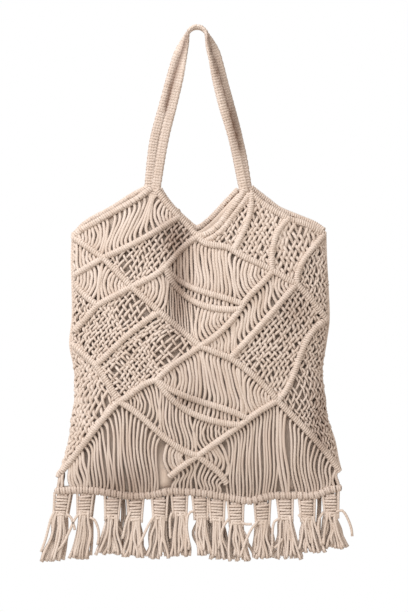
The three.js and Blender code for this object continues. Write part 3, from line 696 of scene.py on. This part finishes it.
# %% Netted fields
NET_GIRTH, CLOSE_NET = 0.275, 0.335  # a cord's radius as a share of its pitch, and the same where the net is close
FIELDS = [  # pitch, lean to the right and to the left for each millimetre of fall, girth, then the border
    (7.0, 0.55, 0.9, NET_GIRTH, "second_row third_row", "third_row left_fork", "left_mid left_fork",
     "second_row side_fork side_3 left_mid"),
    (6.6, 0.5, 0.6, NET_GIRTH, "side_2 side_fork", "side_fork side_3", "edge_a side_3", "side_2 edge_a"),
    (7.4, 0.7, 0.95, NET_GIRTH, "third_row centre", "centre low_eye_left left_cross", "left_fork left_cross",
     "third_row left_fork"),
    (6.4, 0.45, 0.6, CLOSE_NET, "left_mid left_fork left_cross", "left_cross left_low", "edge_b left_low",
     "left_mid edge_b"),
    (6.8, 0.4, 0.75, NET_GIRTH, "neck_left neck:-22:0 v_bottom", "v_bottom eye_left second_row",
     "shoulder_row second_row", "neck_left shoulder_row"),
    (7.4, 0.58, 0.74, NET_GIRTH, "fork_right right_mid", "right_mid right_cross", "below_centre right_cross",
     "fork_right below_centre"),
    (5.7, 0.4, 0.6, CLOSE_NET, "peak rim_1", "rim_1 rim_1_end", "v_bottom rim_1_end", "peak neck:52:2 v_bottom"),
    (6.4, 0.5, 0.57, CLOSE_NET, "rim_1 right:71:116 rim_2", "rim_2 fold_right", "rim_1_end fold_right",
     "rim_1 rim_1_end"),
    (7.0, 0.5, 0.45, CLOSE_NET, "rim_2 right:118:160 right_top", "right_top fork_right", "fold_right fork_right",
     "rim_2 fold_right"),
    (6.4, 0.5, 0.55, NET_GIRTH, "right_top edge_c", "edge_c right_mid", "fork_right right_mid", "right_top fork_right"),
    (6.2, 0.5, 0.6, NET_GIRTH, "right_mid edge_d", "edge_d right_low", "right_cross right_low",
     "right_mid right_cross")]
print(len(FIELDS), "netted fields a panel")

# %% Netting
NET_WAVE, NET_SINK, PER_CROSSING = 1.8, 0.4, 3
SPARE, RUN_STEP, OVERRUN = 3, 0.125, 0.3  # in counts: room round a field, the step along a cord, and past the border
NET_SHAKE, NET_DRIFT, GIRTH_SHAKE = 0.16, 0.17, 0.06  # how far cords stray from their count and their girth
ROUND, HALF_WAY = 0.90, 165.0  # how far round the bag's half turn the grid is wrapped, and its half width flat
SLACK = [  # x, height, reach and gain of the places where the net hangs open
    (-72, -357, 26, 0.50), (-32, -410, 22, 0.60), (-118, -474, 24, 0.60), (127, -461, 26, 0.50), (131, -264, 20, 0.40),
    (-104, -442, 18, 0.40), (86, -442, 20, 0.30), (-91, -302, 18, 0.40)]


def net_place(right, left, pitch, lean_right, lean_left):
    """Where a pair of counts lies: it falls by pitch (left - right) / (both leans), and x comes from the flat width
    p as half sin(ROUND p / HALF_WAY) / sin ROUND. A slack place pushes what is near it out by gain e^-(r/reach)^2."""
    z = -pitch * (left - right) / (lean_right + lean_left)
    p = pitch * (right * lean_left + left * lean_right) / (lean_right + lean_left) / HALF_WAY
    middle, half, _, _ = oval(z)
    s = np.where(np.abs(p) < 1, np.sin(ROUND * np.clip(p, -1, 1)) / np.sin(ROUND), p)
    at = stack(middle + half * s, z)
    for x, height, reach, gain in SLACK:
        away = at - [x, height]
        at = at + away * gain * np.exp(-np.sum(away ** 2, -1, keepdims=True) / reach ** 2)
    return at


def net_counts(flat, pitch, lean_right, lean_left):
    """The pair of counts at flat (x, z) points, leaving the slack out of account."""
    middle, half, _, _ = oval(flat[:, 1])
    s = np.clip((flat[:, 0] - middle) / half, -1, 1)
    p = HALF_WAY * np.arcsin(s * np.sin(ROUND)) / ROUND
    return (p + flat[:, 1] * lean_right) / pitch, (p - flat[:, 1] * lean_left) / pitch


def within(points, border):
    """Even-odd rule: a point is inside when a level line from it to the right meets the border an odd number of
    times."""
    x, z = points[..., 0, None], points[..., 1, None]
    (ax, az), (bx, bz) = border.T, np.roll(border, -1, 0).T
    meets = ((az > z) != (bz > z)) & (x < ax + (z - az) * (bx - ax) / (bz - az + TINY))
    return meets.sum(-1) % 2 == 1


def net(side, pitch, lean_right, lean_left, girth, *edges):
    """Both kinds of cord of one field: cord j of one kind rides at wave cos(pi (i + j)) where it meets cord i of the
    other, and that one at the same wave turned over. Cords of the same number of points are made together."""
    top, right, bottom, left = (path(side, words) for words in edges)
    border = np.concatenate([top, right, bottom[::-1], left[::-1]])[::4]
    slant = pitch, lean_right, lean_left
    spans = [(np.floor(c.min()) - SPARE, np.ceil(c.max()) + SPARE) for c in net_counts(border, *slant)]
    parts = []
    for own, sign in ((0, 1), (1, -1)):
        number = np.arange(*spans[own])[:, None]
        shaken = number + chance.normal(0, NET_SHAKE, number.shape)
        run = np.arange(*spans[1 - own], RUN_STEP)[None]
        place = lambda k, r: net_place(*(k, r)[::sign], *slant)
        inside = within(place(shaken + 0 * run, run + 0 * shaken), border)
        met = inside.sum(1) > 3
        first = run[0, inside.argmax(1)] - OVERRUN
        last = run[0, run.size - 1 - inside[:, ::-1].argmax(1)] + OVERRUN
        steps = np.round((last - first) * PER_CROSSING).astype(int) + 2
        for count in np.unique(steps[met]):
            pick = met & (steps == count)
            along = first[pick, None] + (last - first)[pick, None] * np.linspace(0, 1, count)
            drift = NET_DRIFT * np.sin(0.9 * along + chance.uniform(0, 6.3, shaken[pick].shape))
            wave = sign * NET_WAVE * np.cos(np.pi * (along + number[pick]))
            at, out = lay(place(shaken[pick] + drift, along), side, wave - NET_SINK)
            parts.append(tubes(at, out, girth * pitch * (1 + chance.normal(0, GIRTH_SHAKE, (len(at), 1)))))
    return parts


for side, word in PANELS.items():
    cord_piece(f"{word}_netting", sum((net(side, *field) for field in FIELDS), []), f"{word}_panel")

# %% [markdown]
# ## Mouth edges
# The mouth of each panel is finished with one more hitch row that rolls over the edge, so it is wrapped all the
# way round and shows from inside the bag as well.

# %% Mouth edges
RIM_RISE, RIM_REACH, RIM_RADIUS, RIM_CORE, RIM_SLANT = 0.8, 2.9, 1.6, 2.2, 1.3
SECOND_ROW = {FRONT: (6, 60), BACK: (-46, 52)}  # the neck has a second row just under the first, between these x
SECOND_DOWN, SECOND_REACH = 7.6, 2.5
for side, word in PANELS.items():
    all_round = RIM_RADIUS, 24, RIM_CORE, np.pi, RIM_SLANT, 11, side * np.pi / 2, True
    for edge, line in RIMS[side].items():
        flat = smooth(line) - [0, BACK_LIFT if side == BACK else 0]
        parts = rope(flat, side, RIM_RISE, RIM_REACH, *all_round)
        if edge == "neck":
            start, end = SECOND_ROW[side]
            under = (flat + SECOND_DOWN * below(flat))[(flat[:, 0] > start) & (flat[:, 0] < end)]
            parts += rope(under, side, RIM_RISE, SECOND_REACH, *all_round)
        cord_piece(f"{word}_{edge}_edge", parts, f"{word}_rim_{edge}")

# %% [markdown]
# ## Side lacing
# Each panel ends at the sides in a border cord, and the two panels are laced together there by a pair of cords that
# cross and cross again. Each lace is a zigzag laid round the closing end of the oval, so it goes from the front
# over the edge to the back and returns.

# %% Side lacing
LACE_STEP, LACE_REACH, LACE_TOP, LACE_FOOT, LACE_RADIUS = 13.0, 8.0, -260.0, -558.0, 1.8
LACE_SINK, LACE_RISE, LACE_EASE = 1.3, 0.4, 14  # how a lace lies on the edge, and the depth under which it narrows
BORDER_FOOT = {-1: -588.0, 1: -565.0}
t = np.linspace(0, (LACE_TOP - LACE_FOOT) / LACE_STEP, 300)
z = LACE_TOP - LACE_STEP * t
middle, half, depth, k = oval(z)
lines, outs = [], []
for end in (-1, 1):
    for phase in (0, 1):
        y = LACE_REACH * np.sin(np.pi * (t + phase)) * np.minimum(1, depth / LACE_EASE)
        edge = half * (1 - (np.abs(y) / depth) ** k) ** (1 / k)
        lines.append(stack(middle + end * (edge - LACE_SINK + LACE_RISE * np.cos(np.pi * (t + phase))), y, z))
        outs.append(stack(end, y / LACE_REACH, 0))
        for inset, off, foot in ((-0.2, 1.9, BORDER_FOOT[end]), (2.5, 3.4, LACE_FOOT)):
            border_z = np.linspace(LACE_TOP, foot, len(z))
            border_middle, border_half, _, _ = oval(border_z)
            lines.append(stack(border_middle + end * (border_half - inset), off * (2 * phase - 1), border_z))
            outs.append(stack(end, 0, 0 * z))
cord_piece("side_lacing", [tubes(np.array(lines), np.array(outs), LACE_RADIUS, core=True)], "front_panel", "back_panel")

# %% [markdown]
# ## Bottom rows
# The two bottom rows close the bag. They are the thickest rows, wrapped all the way round a bundle of cords.

# %% Bottom rows
BASE_Y, BASE_STEP, BASE_GIRTH, BASE_REACH, BASE_CORE, BASE_SLANT = 7.6, 3.6, 2.05, 3.5, 4.0, 0.9
PAIR_SHIFT, END_DRAW, END_WRAPS = 0.4, 0.45, 1.1  # wraps lie in pairs, and the last few draw the ends shut
BASE = smooth(BASE_LINE, 200)


def upright(flat, y):
    """A flat line stood up at one depth."""
    return np.insert(flat, 1, y, 1)


for side, word in PANELS.items():
    count = round(line_length(BASE) / BASE_STEP)
    at = upright(even(BASE, count), side * BASE_Y)
    along = unit(np.gradient(at, axis=0))
    at += along * PAIR_SHIFT * np.where(np.arange(count) % 2, -1, 1)[:, None]
    out = np.array([[0.0, side, 0.0]])
    from_end = np.minimum(np.arange(count), np.arange(count)[::-1])
    reach = BASE_REACH * (1 - END_DRAW * np.exp(-from_end / END_WRAPS))[:, None, None]
    wrapped = wraps(at, out, along, np.cross(along, out), reach, BASE_GIRTH, np.pi, BASE_SLANT, 11, -side * np.pi / 2)
    core = upright(even(BASE, 40)[1:-1], side * BASE_Y)
    cord_piece(f"{word}_bottom_row", [wrapped, tubes(core, [0, side, 0], BASE_CORE, core=True)], f"{word}_base_row")

# %% [markdown]
# ## Handles
# Each handle is a sennit of square knots: filler cords inside, and a pair of working cords that cross over them
# and back, again and again. It comes out as a flat strap with a ladder of ribs down the middle, and a row of small
# bumps down each edge where a working cord turns round. Every rib is a flat ring, and every bump a short arc that
# runs along the edge. The strap stands on edge where it hangs at the top, and turns flat as it comes down.

# %% Handle paths
HANDLES = {  # where the turn ends, the turn that the right leg keeps, and the path
    FRONT: (100, 0.35, [
        (-53.5, -211), (-42.5, -144), (-30.2, -93), (-18.3, -42), (-13, -19), (-11.4, -5), (-6.6, 0.8), (0, 2.75),
        (6.6, 0.8), (11.4, -5), (14, -23), (19.7, -42), (31.7, -93), (46.5, -144), (60.5, -211)]),
    BACK: (55, 0.75, [
        (-62.5, -207), (-55.5, -144), (-42.2, -93), (-28, -42), (-20, -20), (-13.6, -6), (-7, 0.9), (0, 2.75),
        (7, 0.9), (13.6, -6), (20, -18), (27.5, -42), (42.2, -93), (55, -144), (65.5, -209)])}
CROWN_Y, ROOT_Z, ROOT_OUT = 8.0, -204.0, 0.4
SETTLE, TURN_FROM, KEEP_IN, KEEP_OUT = (10, 200), 12, (30, 90), (150, 212)  # distances from the crown


def strap_frames(side, count):
    """Points along a handle with its along, wide and deep directions: the wide one turns from level at the top
    to the panel's own plane over the first stretch of each leg. The right leg keeps some of the turn for longer."""
    turn_over, kept, course = HANDLES[side]
    x, z = np.array(course, float).T
    root = wall_depth(x, np.full_like(x, ROOT_Z), side) + ROOT_OUT
    away = smoothstep(-z, *SETTLE)
    away[[0, -1]] = 1
    line = smooth(stack(x, side * (CROWN_Y + (root - CROWN_Y) * away), z), 600)
    at = even(line, count)
    along = unit(np.gradient(at, axis=0))
    flat = unit(stack(along[:, 2], 0, -along[:, 0]))
    far = np.abs(np.linspace(-0.5, 0.5, count)) * line_length(line)
    turn = np.pi / 2 * (1 - smoothstep(far, TURN_FROM, turn_over))
    keep = kept * (at[:, 0] > 0) * smoothstep(far, *KEEP_IN) * (1 - smoothstep(far, *KEEP_OUT))
    turn = np.maximum(turn, keep)[:, None]
    wide = squared(flat * np.cos(turn) - np.array([0, 1.0, 0]) * np.sin(turn), along)
    return at, along, wide, np.cross(along, wide), line_length(line)


print("handles", [round(strap_frames(side, 40)[4]) for side in PANELS], "mm long")

# %% Handles
STRAP_WIDE, KNOT_STEP, KNOT_RADIUS, BUMP_RADIUS, FILLER_RADIUS = 13.0, 3.6, 1.8, 1.5, 2.45
RIB_WIDE, RIB_DEEP, RIB_SLANT, FILLERS = 4.6, 1.15, 0.4, (-3.2, 0.0, 3.2)
RING_SQUARE, RING_START, RING_SHAKE = 0.7, 0.3, 0.02
BUMP_TURN, BUMP_BOW, BUMP_LONG = 1.2, 2.0, 1.05


def knot_loops(at, along, wide, deep, half_wide, half_deep, radius, slant, core=False):
    """Flat rings round a strap: at + half_wide |cos a|^q wide + half_deep |sin a|^q deep, with q RING_SQUARE and
    every other ring slanted the other way along."""
    a = np.linspace(RING_START, RING_START + 2 * np.pi, 13)[:, None]
    c, s = (np.sign(f) * np.abs(f) ** RING_SQUARE for f in (np.cos(a), np.sin(a)))
    radial = c * wide[:, None] * half_deep + s * deep[:, None] * half_wide
    way = slant * np.where(np.arange(len(at)) % 2, 1, -1)[:, None, None]
    size = 1 + chance.normal(0, RING_SHAKE, (len(at), 1, 1))
    ring = c * half_wide * wide[:, None] + s * half_deep * deep[:, None]
    return tubes(at[:, None] + size * ring + way * c * along[:, None], radial, radius, core)


def edge_bumps(at, along, wide, deep, reach):
    """Turns at a strap's edges: arcs at + (reach - bow + bow cos b) wide + long KNOT_STEP sin b along, for b within
    BUMP_TURN, at every other knot on each edge."""
    b = np.linspace(-BUMP_TURN, BUMP_TURN, 8)[:, None]
    parts = []
    for way in (0, 1):
        pick, sign = slice(1 + way, -1, 2), 1 - 2 * way
        bow = sign * (reach - BUMP_BOW + BUMP_BOW * np.cos(b)) * wide[pick][:, None]
        lines = at[pick][:, None] + bow + BUMP_LONG * KNOT_STEP * np.sin(b) * along[pick][:, None]
        parts.append(tubes(lines, sign * wide[pick][:, None], BUMP_RADIUS))
    return parts


for side, word in PANELS.items():
    long = strap_frames(side, 40)[4]
    strap = strap_frames(side, round(long / KNOT_STEP))[:4]
    parts = [knot_loops(*strap, RIB_WIDE, RIB_DEEP, KNOT_RADIUS, RIB_SLANT, True)]
    parts += edge_bumps(*strap, STRAP_WIDE / 2 - BUMP_RADIUS)
    at, along, wide, deep, _ = strap_frames(side, 90)
    parts += [tubes(at + wide * shift, deep, FILLER_RADIUS, core=True) for shift in FILLERS]
    cord_piece(f"{word}_knotted_handle", parts, f"{word}_handle")

# %% [markdown]
# ## Fringe
# Under the bottom row the cords are gathered into thirteen tassels a side. Each has a head wrapped round and
# round, two cords that run down its sides, and a skirt of loose ends that spread and are cut by eye, so they end
# at slightly different heights.

# %% Tassels and loose ends
TASSELS = np.array([  # front x, back x, lean, spread, tip
    (-171.5, -169, -15.5, 16, -680), (-142.5, -140, -8, 12.5, -678), (-107.5, -108, -5.5, 16.5, -672),
    (-78.5, -80, -2, 16, -675), (-47.5, -49, 0, 15, -677), (-22.5, -25, 2, 13, -674), (4, 5, 5, 9, -672),
    (25, 25, 4, 13, -677), (49, 50, 5, 15, -680), (83.5, 84, 1, 14, -677), (112, 112, 6, 18.5, -677),
    (140, 141, 6, 16, -669), (170.5, 170, 6, 17, -664)], float)
LOOSE = {  # ends that have slipped out of a head, as x and height down their length
    FRONT: [
        [(-181.5, -616), (-186.5, -626), (-193, -651), (-199, -668)],
        [(-166, -620), (-161, -624), (-157, -635), (-156, -640)],
        [(-151, -620), (-156, -626), (-162.5, -641), (-171, -658), (-180, -668)],
        [(-137, -624), (-131, -627), (-126, -639), (-125.5, -651), (-127, -659)],
        [(-85, -617), (-90, -629), (-95, -651)], [(-54.5, -622), (-62, -634), (-70, -651), (-75, -662)],
        [(-32, -618), (-34.5, -626), (-34, -651)], [(-4, -616), (-10, -618), (-12.5, -626), (-13, -639), (-9, -662)],
        [(40.5, -626), (34.5, -634), (30.5, -646), (27, -664)], [(56, -630), (62, -632.5), (70, -632.5)],
        [(77.5, -629), (70, -638), (63.5, -651), (57, -669), (54.5, -675)],
        [(106.5, -625), (99, -629), (96.5, -639), (96, -658), (95, -668)], [(109, -651), (105, -657), (99, -663)],
        [(129.5, -620), (136, -630), (142, -645), (145, -657)], [(161.5, -617), (156, -626), (155, -641), (159, -660)],
        [(177.5, -617), (185, -615), (192, -625), (197, -639), (198, -648)]],
    BACK: [
        [(-86, -618), (-90, -640), (-91, -668)], [(-87, -616), (-94, -640), (-97, -666)],
        [(-28, -617), (-34, -640), (-36, -668)], [(-30, -616), (-37, -640), (-41, -664)],
        [(-27, -618), (-31, -640), (-31, -672)], [(-98, -598), (-96, -615), (-98, -650)],
        [(-94, -599), (-93, -618), (-93.5, -655)], [(-90, -598), (-89, -615), (-88, -650)],
        [(-39.5, -594), (-38, -612), (-39, -645)], [(-36, -594), (-35.5, -615), (-36.5, -650)],
        [(154.5, -590), (156, -610), (153, -645)], [(158.5, -589), (158, -612), (157, -650)]]}
print(len(TASSELS), "tassels a side,", sum(map(len, LOOSE.values())), "loose ends")

# %% Fringe
HEAD_WIDE, HEAD_THICK, HEAD_TALL, HEAD_WRAPS, WRAP_GIRTH = 18.2, 9.5, 26.0, 7, 1.95
HEAD_DOWN, HEAD_LEAN, HEAD_TAPER, HEAD_SLANT = 5.6, 0.25, 0.14, 0.25  # the head takes a quarter of the lean
HEAD_TILT, RING_TILT = 0.06, 0.05
CORE_APART, CORE_RADIUS, SIDE_RADIUS = 4.0, 2.5, 1.7
SIDE_FLARE, SIDE_TUCK, SIDE_OUT = 1.2, 1.0, 1.2  # side cords stand off the head above, press into it below
SKIRT_FAN, SKIRT_UP, SKIRT_LAYERS = 5.4, 6, (1.9, 2.3)  # a skirt's start, and its layers' depths there and at the tips
FRAY, FRAY_FROM = 0.22, 0.86  # how far a tip widens, and from which share of its length
SKIRT_ENDS, SKIRT_POINTS, END_RADIUS, LOOSE_RADIUS, LOOSE_OUT = 8, 12, 1.9, 1.7, 3.2
FAN_SHAKE, LAYER_SHAKE, TIP_SHAKE, BEND, KINK = 0.09, 0.25, (2.0, 1.2, 4.0), 2.0, 0.9  # how far skirt ends stray


def tassel(row, side):
    """One tassel: its head's rings, its two side cords, and two layers of skirt ends that fan from the head's
    foot to lean and spread at the tip. The rings tilt by a little that a sine of x and of the ring's number gives."""
    x, lean, spread, tip = row[0 if side == FRONT else 1], *row[2:]
    head_wide = HEAD_WIDE if side == FRONT else HEAD_WIDE - 2
    under = np.interp(x + np.array([-0.5, 0, 0.5]) * head_wide, *BASE.T)
    y, top, foot_x = side * BASE_Y, under.min() - HEAD_DOWN, x + lean * HEAD_LEAN
    low, facing = top - HEAD_TALL, np.array([0.0, side, 0.0])
    share = (np.arange(HEAD_WRAPS) + 0.5) / HEAD_WRAPS
    at = stack(x + lean * HEAD_LEAN * share, y, top - HEAD_TALL * share)
    tilt = HEAD_TILT * np.sin(0.7 * x) + RING_TILT * np.sin(x + 1.9 * np.arange(HEAD_WRAPS))
    wide = stack(np.cos(tilt), 0, np.sin(tilt))
    along, deep = np.array([[[0, 0, -1.0]], [[0, -1.0, 0]]])
    half_wide, half_deep = ((size / 2 - WRAP_GIRTH) * (1 - HEAD_TAPER * share)[:, None, None]
                            for size in (head_wide, HEAD_THICK))
    parts = [knot_loops(at, along, wide, deep, half_wide, half_deep, WRAP_GIRTH, HEAD_SLANT)]
    core = stack(np.linspace(x, foot_x, 4), y, np.linspace(top + 3, low, 4))
    core = core + np.array([-CORE_APART, 0, CORE_APART])[:, None, None] * [1, 0, 0]
    parts.append(tubes(core, facing, CORE_RADIUS, core=True))
    drop = np.linspace(0, 1, 8)
    hug = np.array([[-1], [1]]) * (head_wide / 2 + SIDE_FLARE * (1 - drop) ** 1.6 - SIDE_TUCK * drop)
    fall = under[[0, 2], None] - 1 - (under[[0, 2], None] + 1 - low) * drop
    sides = stack(hug + x + lean * HEAD_LEAN * drop, y + side * SIDE_OUT, fall)
    parts.append(tubes(sides, facing, SIDE_RADIUS, core=True))

    fan = np.linspace(-1, 1, SKIRT_ENDS) + chance.normal(0, FAN_SHAKE, (2, SKIRT_ENDS))
    layer = np.array([[-1.0], [1.0]]) + chance.normal(0, LAYER_SHAKE, fan.shape)
    t = np.linspace(0, 1, SKIRT_POINTS)
    start = stack(foot_x + fan * SKIRT_FAN, y + layer * SKIRT_LAYERS[0], low + SKIRT_UP)[..., None, :]
    stray_x, stray_y, stray_z = (chance.normal(0, shake, fan.shape) for shake in TIP_SHAKE)
    tips = stack(x + lean + fan * (0.96 * spread - 1.5) + stray_x, y + layer * SKIRT_LAYERS[1] + stray_y,
                 tip - 1 + np.abs(stray_z))
    bend = chance.normal(0, BEND, (2, SKIRT_ENDS, 1, 1)) * np.sin(np.pi * t)[:, None] * [1, 0.5, 0]
    kink = chance.normal(0, KINK, (2, SKIRT_ENDS, 1, 1)) * np.sin(3 * np.pi * t)[:, None] * [1, 0.4, 0]
    hang = start + (tips[..., None, :] - start) * stack(t ** 1.6, t, t) + bend + kink
    fray = END_RADIUS * (1 + FRAY * smoothstep(t, FRAY_FROM, 1.0))
    for ends, inner in zip(hang, (side == BACK, True)):
        parts.append(tubes(ends, facing, fray, inner))
    return parts


def loose_end(points, side):
    """One loose end: a smooth line through its points, just in front of the heads."""
    line = upright(smooth(points, SKIRT_POINTS), side * (BASE_Y + LOOSE_OUT))
    return tubes(line, [0, side, 0], LOOSE_RADIUS, core=True)


for side, word in PANELS.items():
    parts = sum((tassel(row, side) for row in TASSELS), []) + [loose_end(points, side) for points in LOOSE[side]]
    cord_piece(f"{word}_fringe", parts, *[f"{word}_tassel_{i + 1:02d}" for i in range(len(TASSELS))])

# %% [markdown]
# ## Lining
# A plain cotton pouch hangs inside, sewn to the panels just under the mouth. It is one length of cloth, folded
# at the bottom and seamed up both sides, so it is made as one grid: down the front, round the fold and up the
# back, with slack ripples. Solidify gives the cloth its thickness.

# %% Lining finish
THREAD_STEP = 0.0013  # metres; woven threads, drawn coarse enough to show
SLUB_WIDTH = 0.012  # paler and darker stretches of the thread
lining_cloth, tree, shader = new_material("plain_weave_cotton")
uv = node(tree, "ShaderNodeUVMap", uv_map="cord")
ways = node(tree, "ShaderNodeSeparateXYZ", links={0: uv}).outputs[:2]
threads = [node(tree, "ShaderNodeMath", {1: 2 * np.pi / THREAD_STEP}, {0: way}, operation="MULTIPLY") for way in ways]
warp, weft = (node(tree, "ShaderNodeMath", links={0: thread}, operation="SINE") for thread in threads)
weave = node(tree, "ShaderNodeMath", links={0: warp, 1: weft}, operation="MULTIPLY")
bump = node(tree, "ShaderNodeBump", {"Strength": 0.35, "Distance": 0.0003}, {"Height": weave})
slub = node(tree, "ShaderNodeTexNoise", {"Scale": 1 / SLUB_WIDTH, "Detail": 3.0}, {"Vector": uv})
cloth = node(tree, "ShaderNodeValToRGB", links={0: slub.outputs["Fac"]})
for stop, place, code in zip(cloth.color_ramp.elements, (0.3, 0.7), ("#dccabc", "#e5d5c8")):
    stop.position, stop.color = place, linear(code)
node(tree, shader, {"Roughness": 0.95, "Specular IOR Level": 0.15, "Sheen Weight": 0.15},
     {"Base Color": cloth, "Normal": bump})
print("lining threads every", round(THREAD_STEP / MM, 2), "mm")

# %% Lining
LINING_INSET, SEAM_INSET, LINING_DROP, LINING_RISE, CLOTH_THICK = 6.2, 3.4, 4.0, 1.5, 0.0010
CORNERS = 19.0, 8.0  # the pouch's bottom corners are rounded in by this much, left and right
ACROSS, DOWN = 121, 145
BULGES = [(-110, -578), (-42, -575), (44, -548), (118, -578)]  # the cloth bellies out where the cords stand apart
BULGE_WIDE, BULGE_TALL, BULGE_DEEP = 11, 26, 7.0
FOOT_INSET, MOUTH_OUTSET = 3.5, 2.8  # it hangs free of the wall at the foot, and close to it under the mouth
CORNER_ZONE, FOOT_ZONE, MOUTH_ZONE = (548, 576), (470, 540), (2, 24)  # depths down the bag, or under the mouth
RIPPLE_DEEP, RIPPLE_WIDE, RIPPLE_TALL = 1.2, 17, 60
FOLD_EASE, SEAM_EASE = 40, 60  # how sharply the cloth closes at the fold and at the seams
MOUTH_WIDTH_AT, CUT_WIDTH = -250.0, 0.325


def grid(down, across):
    """Quads between the points of a sheet, which are numbered row by row."""
    at = np.arange(down * across).reshape(down, across)
    return stack(at[:-1, :-1], at[1:, :-1], at[1:, 1:], at[:-1, 1:]).reshape(-1, 4)


def mouth_height(side, x):
    """Height of a panel's mouth over x, straight across where a handle leaves it."""
    line = np.concatenate([smooth(RIMS[side][edge]) for edge in ("left", "neck", "right")])
    return np.interp(x, *line.T)


s, v = np.meshgrid(np.linspace(-1, 1, ACROSS), np.linspace(0, 1, DOWN))
fall, front = 1 - np.abs(2 * v - 1), v < 0.5
middle, half, _, _ = oval(np.full_like(s, MOUTH_WIDTH_AT))
x_top = middle + s * (half - SEAM_INSET)
top = np.where(front, *(mouth_height(side, x_top) for side in PANELS)) - LINING_DROP
foot = np.interp(x_top * 1.1, *BASE.T) + LINING_RISE
z = top + (foot - top) * fall
middle, half, _, _ = oval(z)
x = middle + s * (half - SEAM_INSET - np.where(s < 0, *CORNERS) * smoothstep(-z, *CORNER_ZONE))
ripple = RIPPLE_DEEP * np.sin(x / RIPPLE_WIDE + z / RIPPLE_TALL) * np.sin(np.pi * np.clip(fall, 0, 1))
depth = np.where(front, *(wall_depth(x, z, side, SEAM_INSET) for side in PANELS))
for bulge in BULGES:
    depth = depth + BULGE_DEEP * spot(x, z, *bulge, BULGE_WIDE, BULGE_TALL)
inset = LINING_INSET + FOOT_INSET * smoothstep(-z, *FOOT_ZONE)
inset -= MOUTH_OUTSET * (1 - smoothstep(top - z, *MOUTH_ZONE))
y = np.where(front, FRONT, BACK) * np.maximum(depth - inset - np.abs(ripple), 1.0)
y = y * np.clip(np.abs(2 * v - 1) * FOLD_EASE, 0, 1) * np.clip((1 - np.abs(s)) * SEAM_EASE, 0, 1)
points, quads = stack(x, y, z), grid(DOWN, ACROSS)
run = np.cumsum(np.linalg.norm(np.diff(points, axis=0, prepend=points[:1]), axis=-1), 0)
cloth_uv = stack(x, run).reshape(-1, 2)[quads] * MM
sheet = points.reshape(-1, 3), quads, cloth_uv, np.zeros((ACROSS * DOWN, 2))
lining = make_mesh("lining_pouch", [sheet], lining_cloth, "lining_cloth", "lining")
solidify = lining.modifiers.new("cloth_thickness", "SOLIDIFY")
solidify.thickness, solidify.offset = CLOTH_THICK, 0

# %% [markdown]
# ## Light and floor
# A soft key from the left front and a pale room: cords on the left are bright, and the folds on the right fall
# into warm shade. The floor lies well below, since the bag hangs.

# %% Light and floor
FLOOR, FLOOR_HALF, FLOOR_LINES, AIM = -1.45, 4, 9, np.array([0.0, 0.0, -0.38])
world = bpy.data.worlds.new("pale_room")
scene.world = world
world.use_nodes = True
tree = world.node_tree
room = node(tree, tree.nodes["Background"], {"Color": linear("#fff0e2"), "Strength": 0.50})
paper = node(tree, "ShaderNodeBackground", {"Color": (1, 1, 1, 1), "Strength": 1.0})
ray = node(tree, "ShaderNodeLightPath")
mix = node(tree, "ShaderNodeMixShader", links={0: ray.outputs["Is Camera Ray"], 1: room, 2: paper})
node(tree, tree.nodes["World Output"], links={0: mix})

LIGHTS = {  # place, size, power and colour
    "key": ((-1.45, -1.05, 1.25), 1.1, 33.0, "#fcfcff"), "top_softbox": ((-0.45, -1.9, 1.0), 1.6, 34.0, "#fffdfa"),
    "back_fill": ((-0.9, 2.2, 0.9), 1.2, 30.0, "#fffdfa")}
for name, (place, size, power, colour) in LIGHTS.items():
    lamp_data = bpy.data.lights.new(name, "AREA")
    lamp_data.energy, lamp_data.size, lamp_data.color = power, size, linear(colour)[:3]
    lamp = put(name, lamp_data)
    lamp.location = place
    aim = AIM - np.array(place)
    lamp.rotation_euler = (np.arctan2(np.hypot(aim[0], aim[1]), -aim[2]), 0, np.arctan2(-aim[0], aim[1]))

floor_x, floor_y = np.meshgrid(*[np.linspace(-FLOOR_HALF, FLOOR_HALF, FLOOR_LINES)] * 2)
floor_points = stack(floor_x, floor_y, FLOOR).reshape(-1, 3)
floor_quads = grid(FLOOR_LINES, FLOOR_LINES)[:, ::-1]
floor_mesh = bpy.data.meshes.new("floor")
floor_mesh.from_pydata(floor_points.tolist(), [], floor_quads.tolist())
floor_paint, tree, shader = new_material("pale_floor_paint")
node(tree, shader, {"Base Color": linear("#f1efec"), "Roughness": 0.8})
floor_mesh.materials.append(floor_paint)
floor = put("floor", floor_mesh)
floor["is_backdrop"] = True
scene.view_settings.view_transform = "Standard"
print("floor at", FLOOR, "m")

# %% [markdown]
# ## Sizes
# The dressed bag is meant to keep the size of its solids. Its span is printed, as theirs was at the start.

# %% Sizes
dressed_box = [[float(v) for v in corner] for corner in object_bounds()]
print("dressed span", np.round(np.subtract(dressed_box[1], dressed_box[0]), 3), "m")
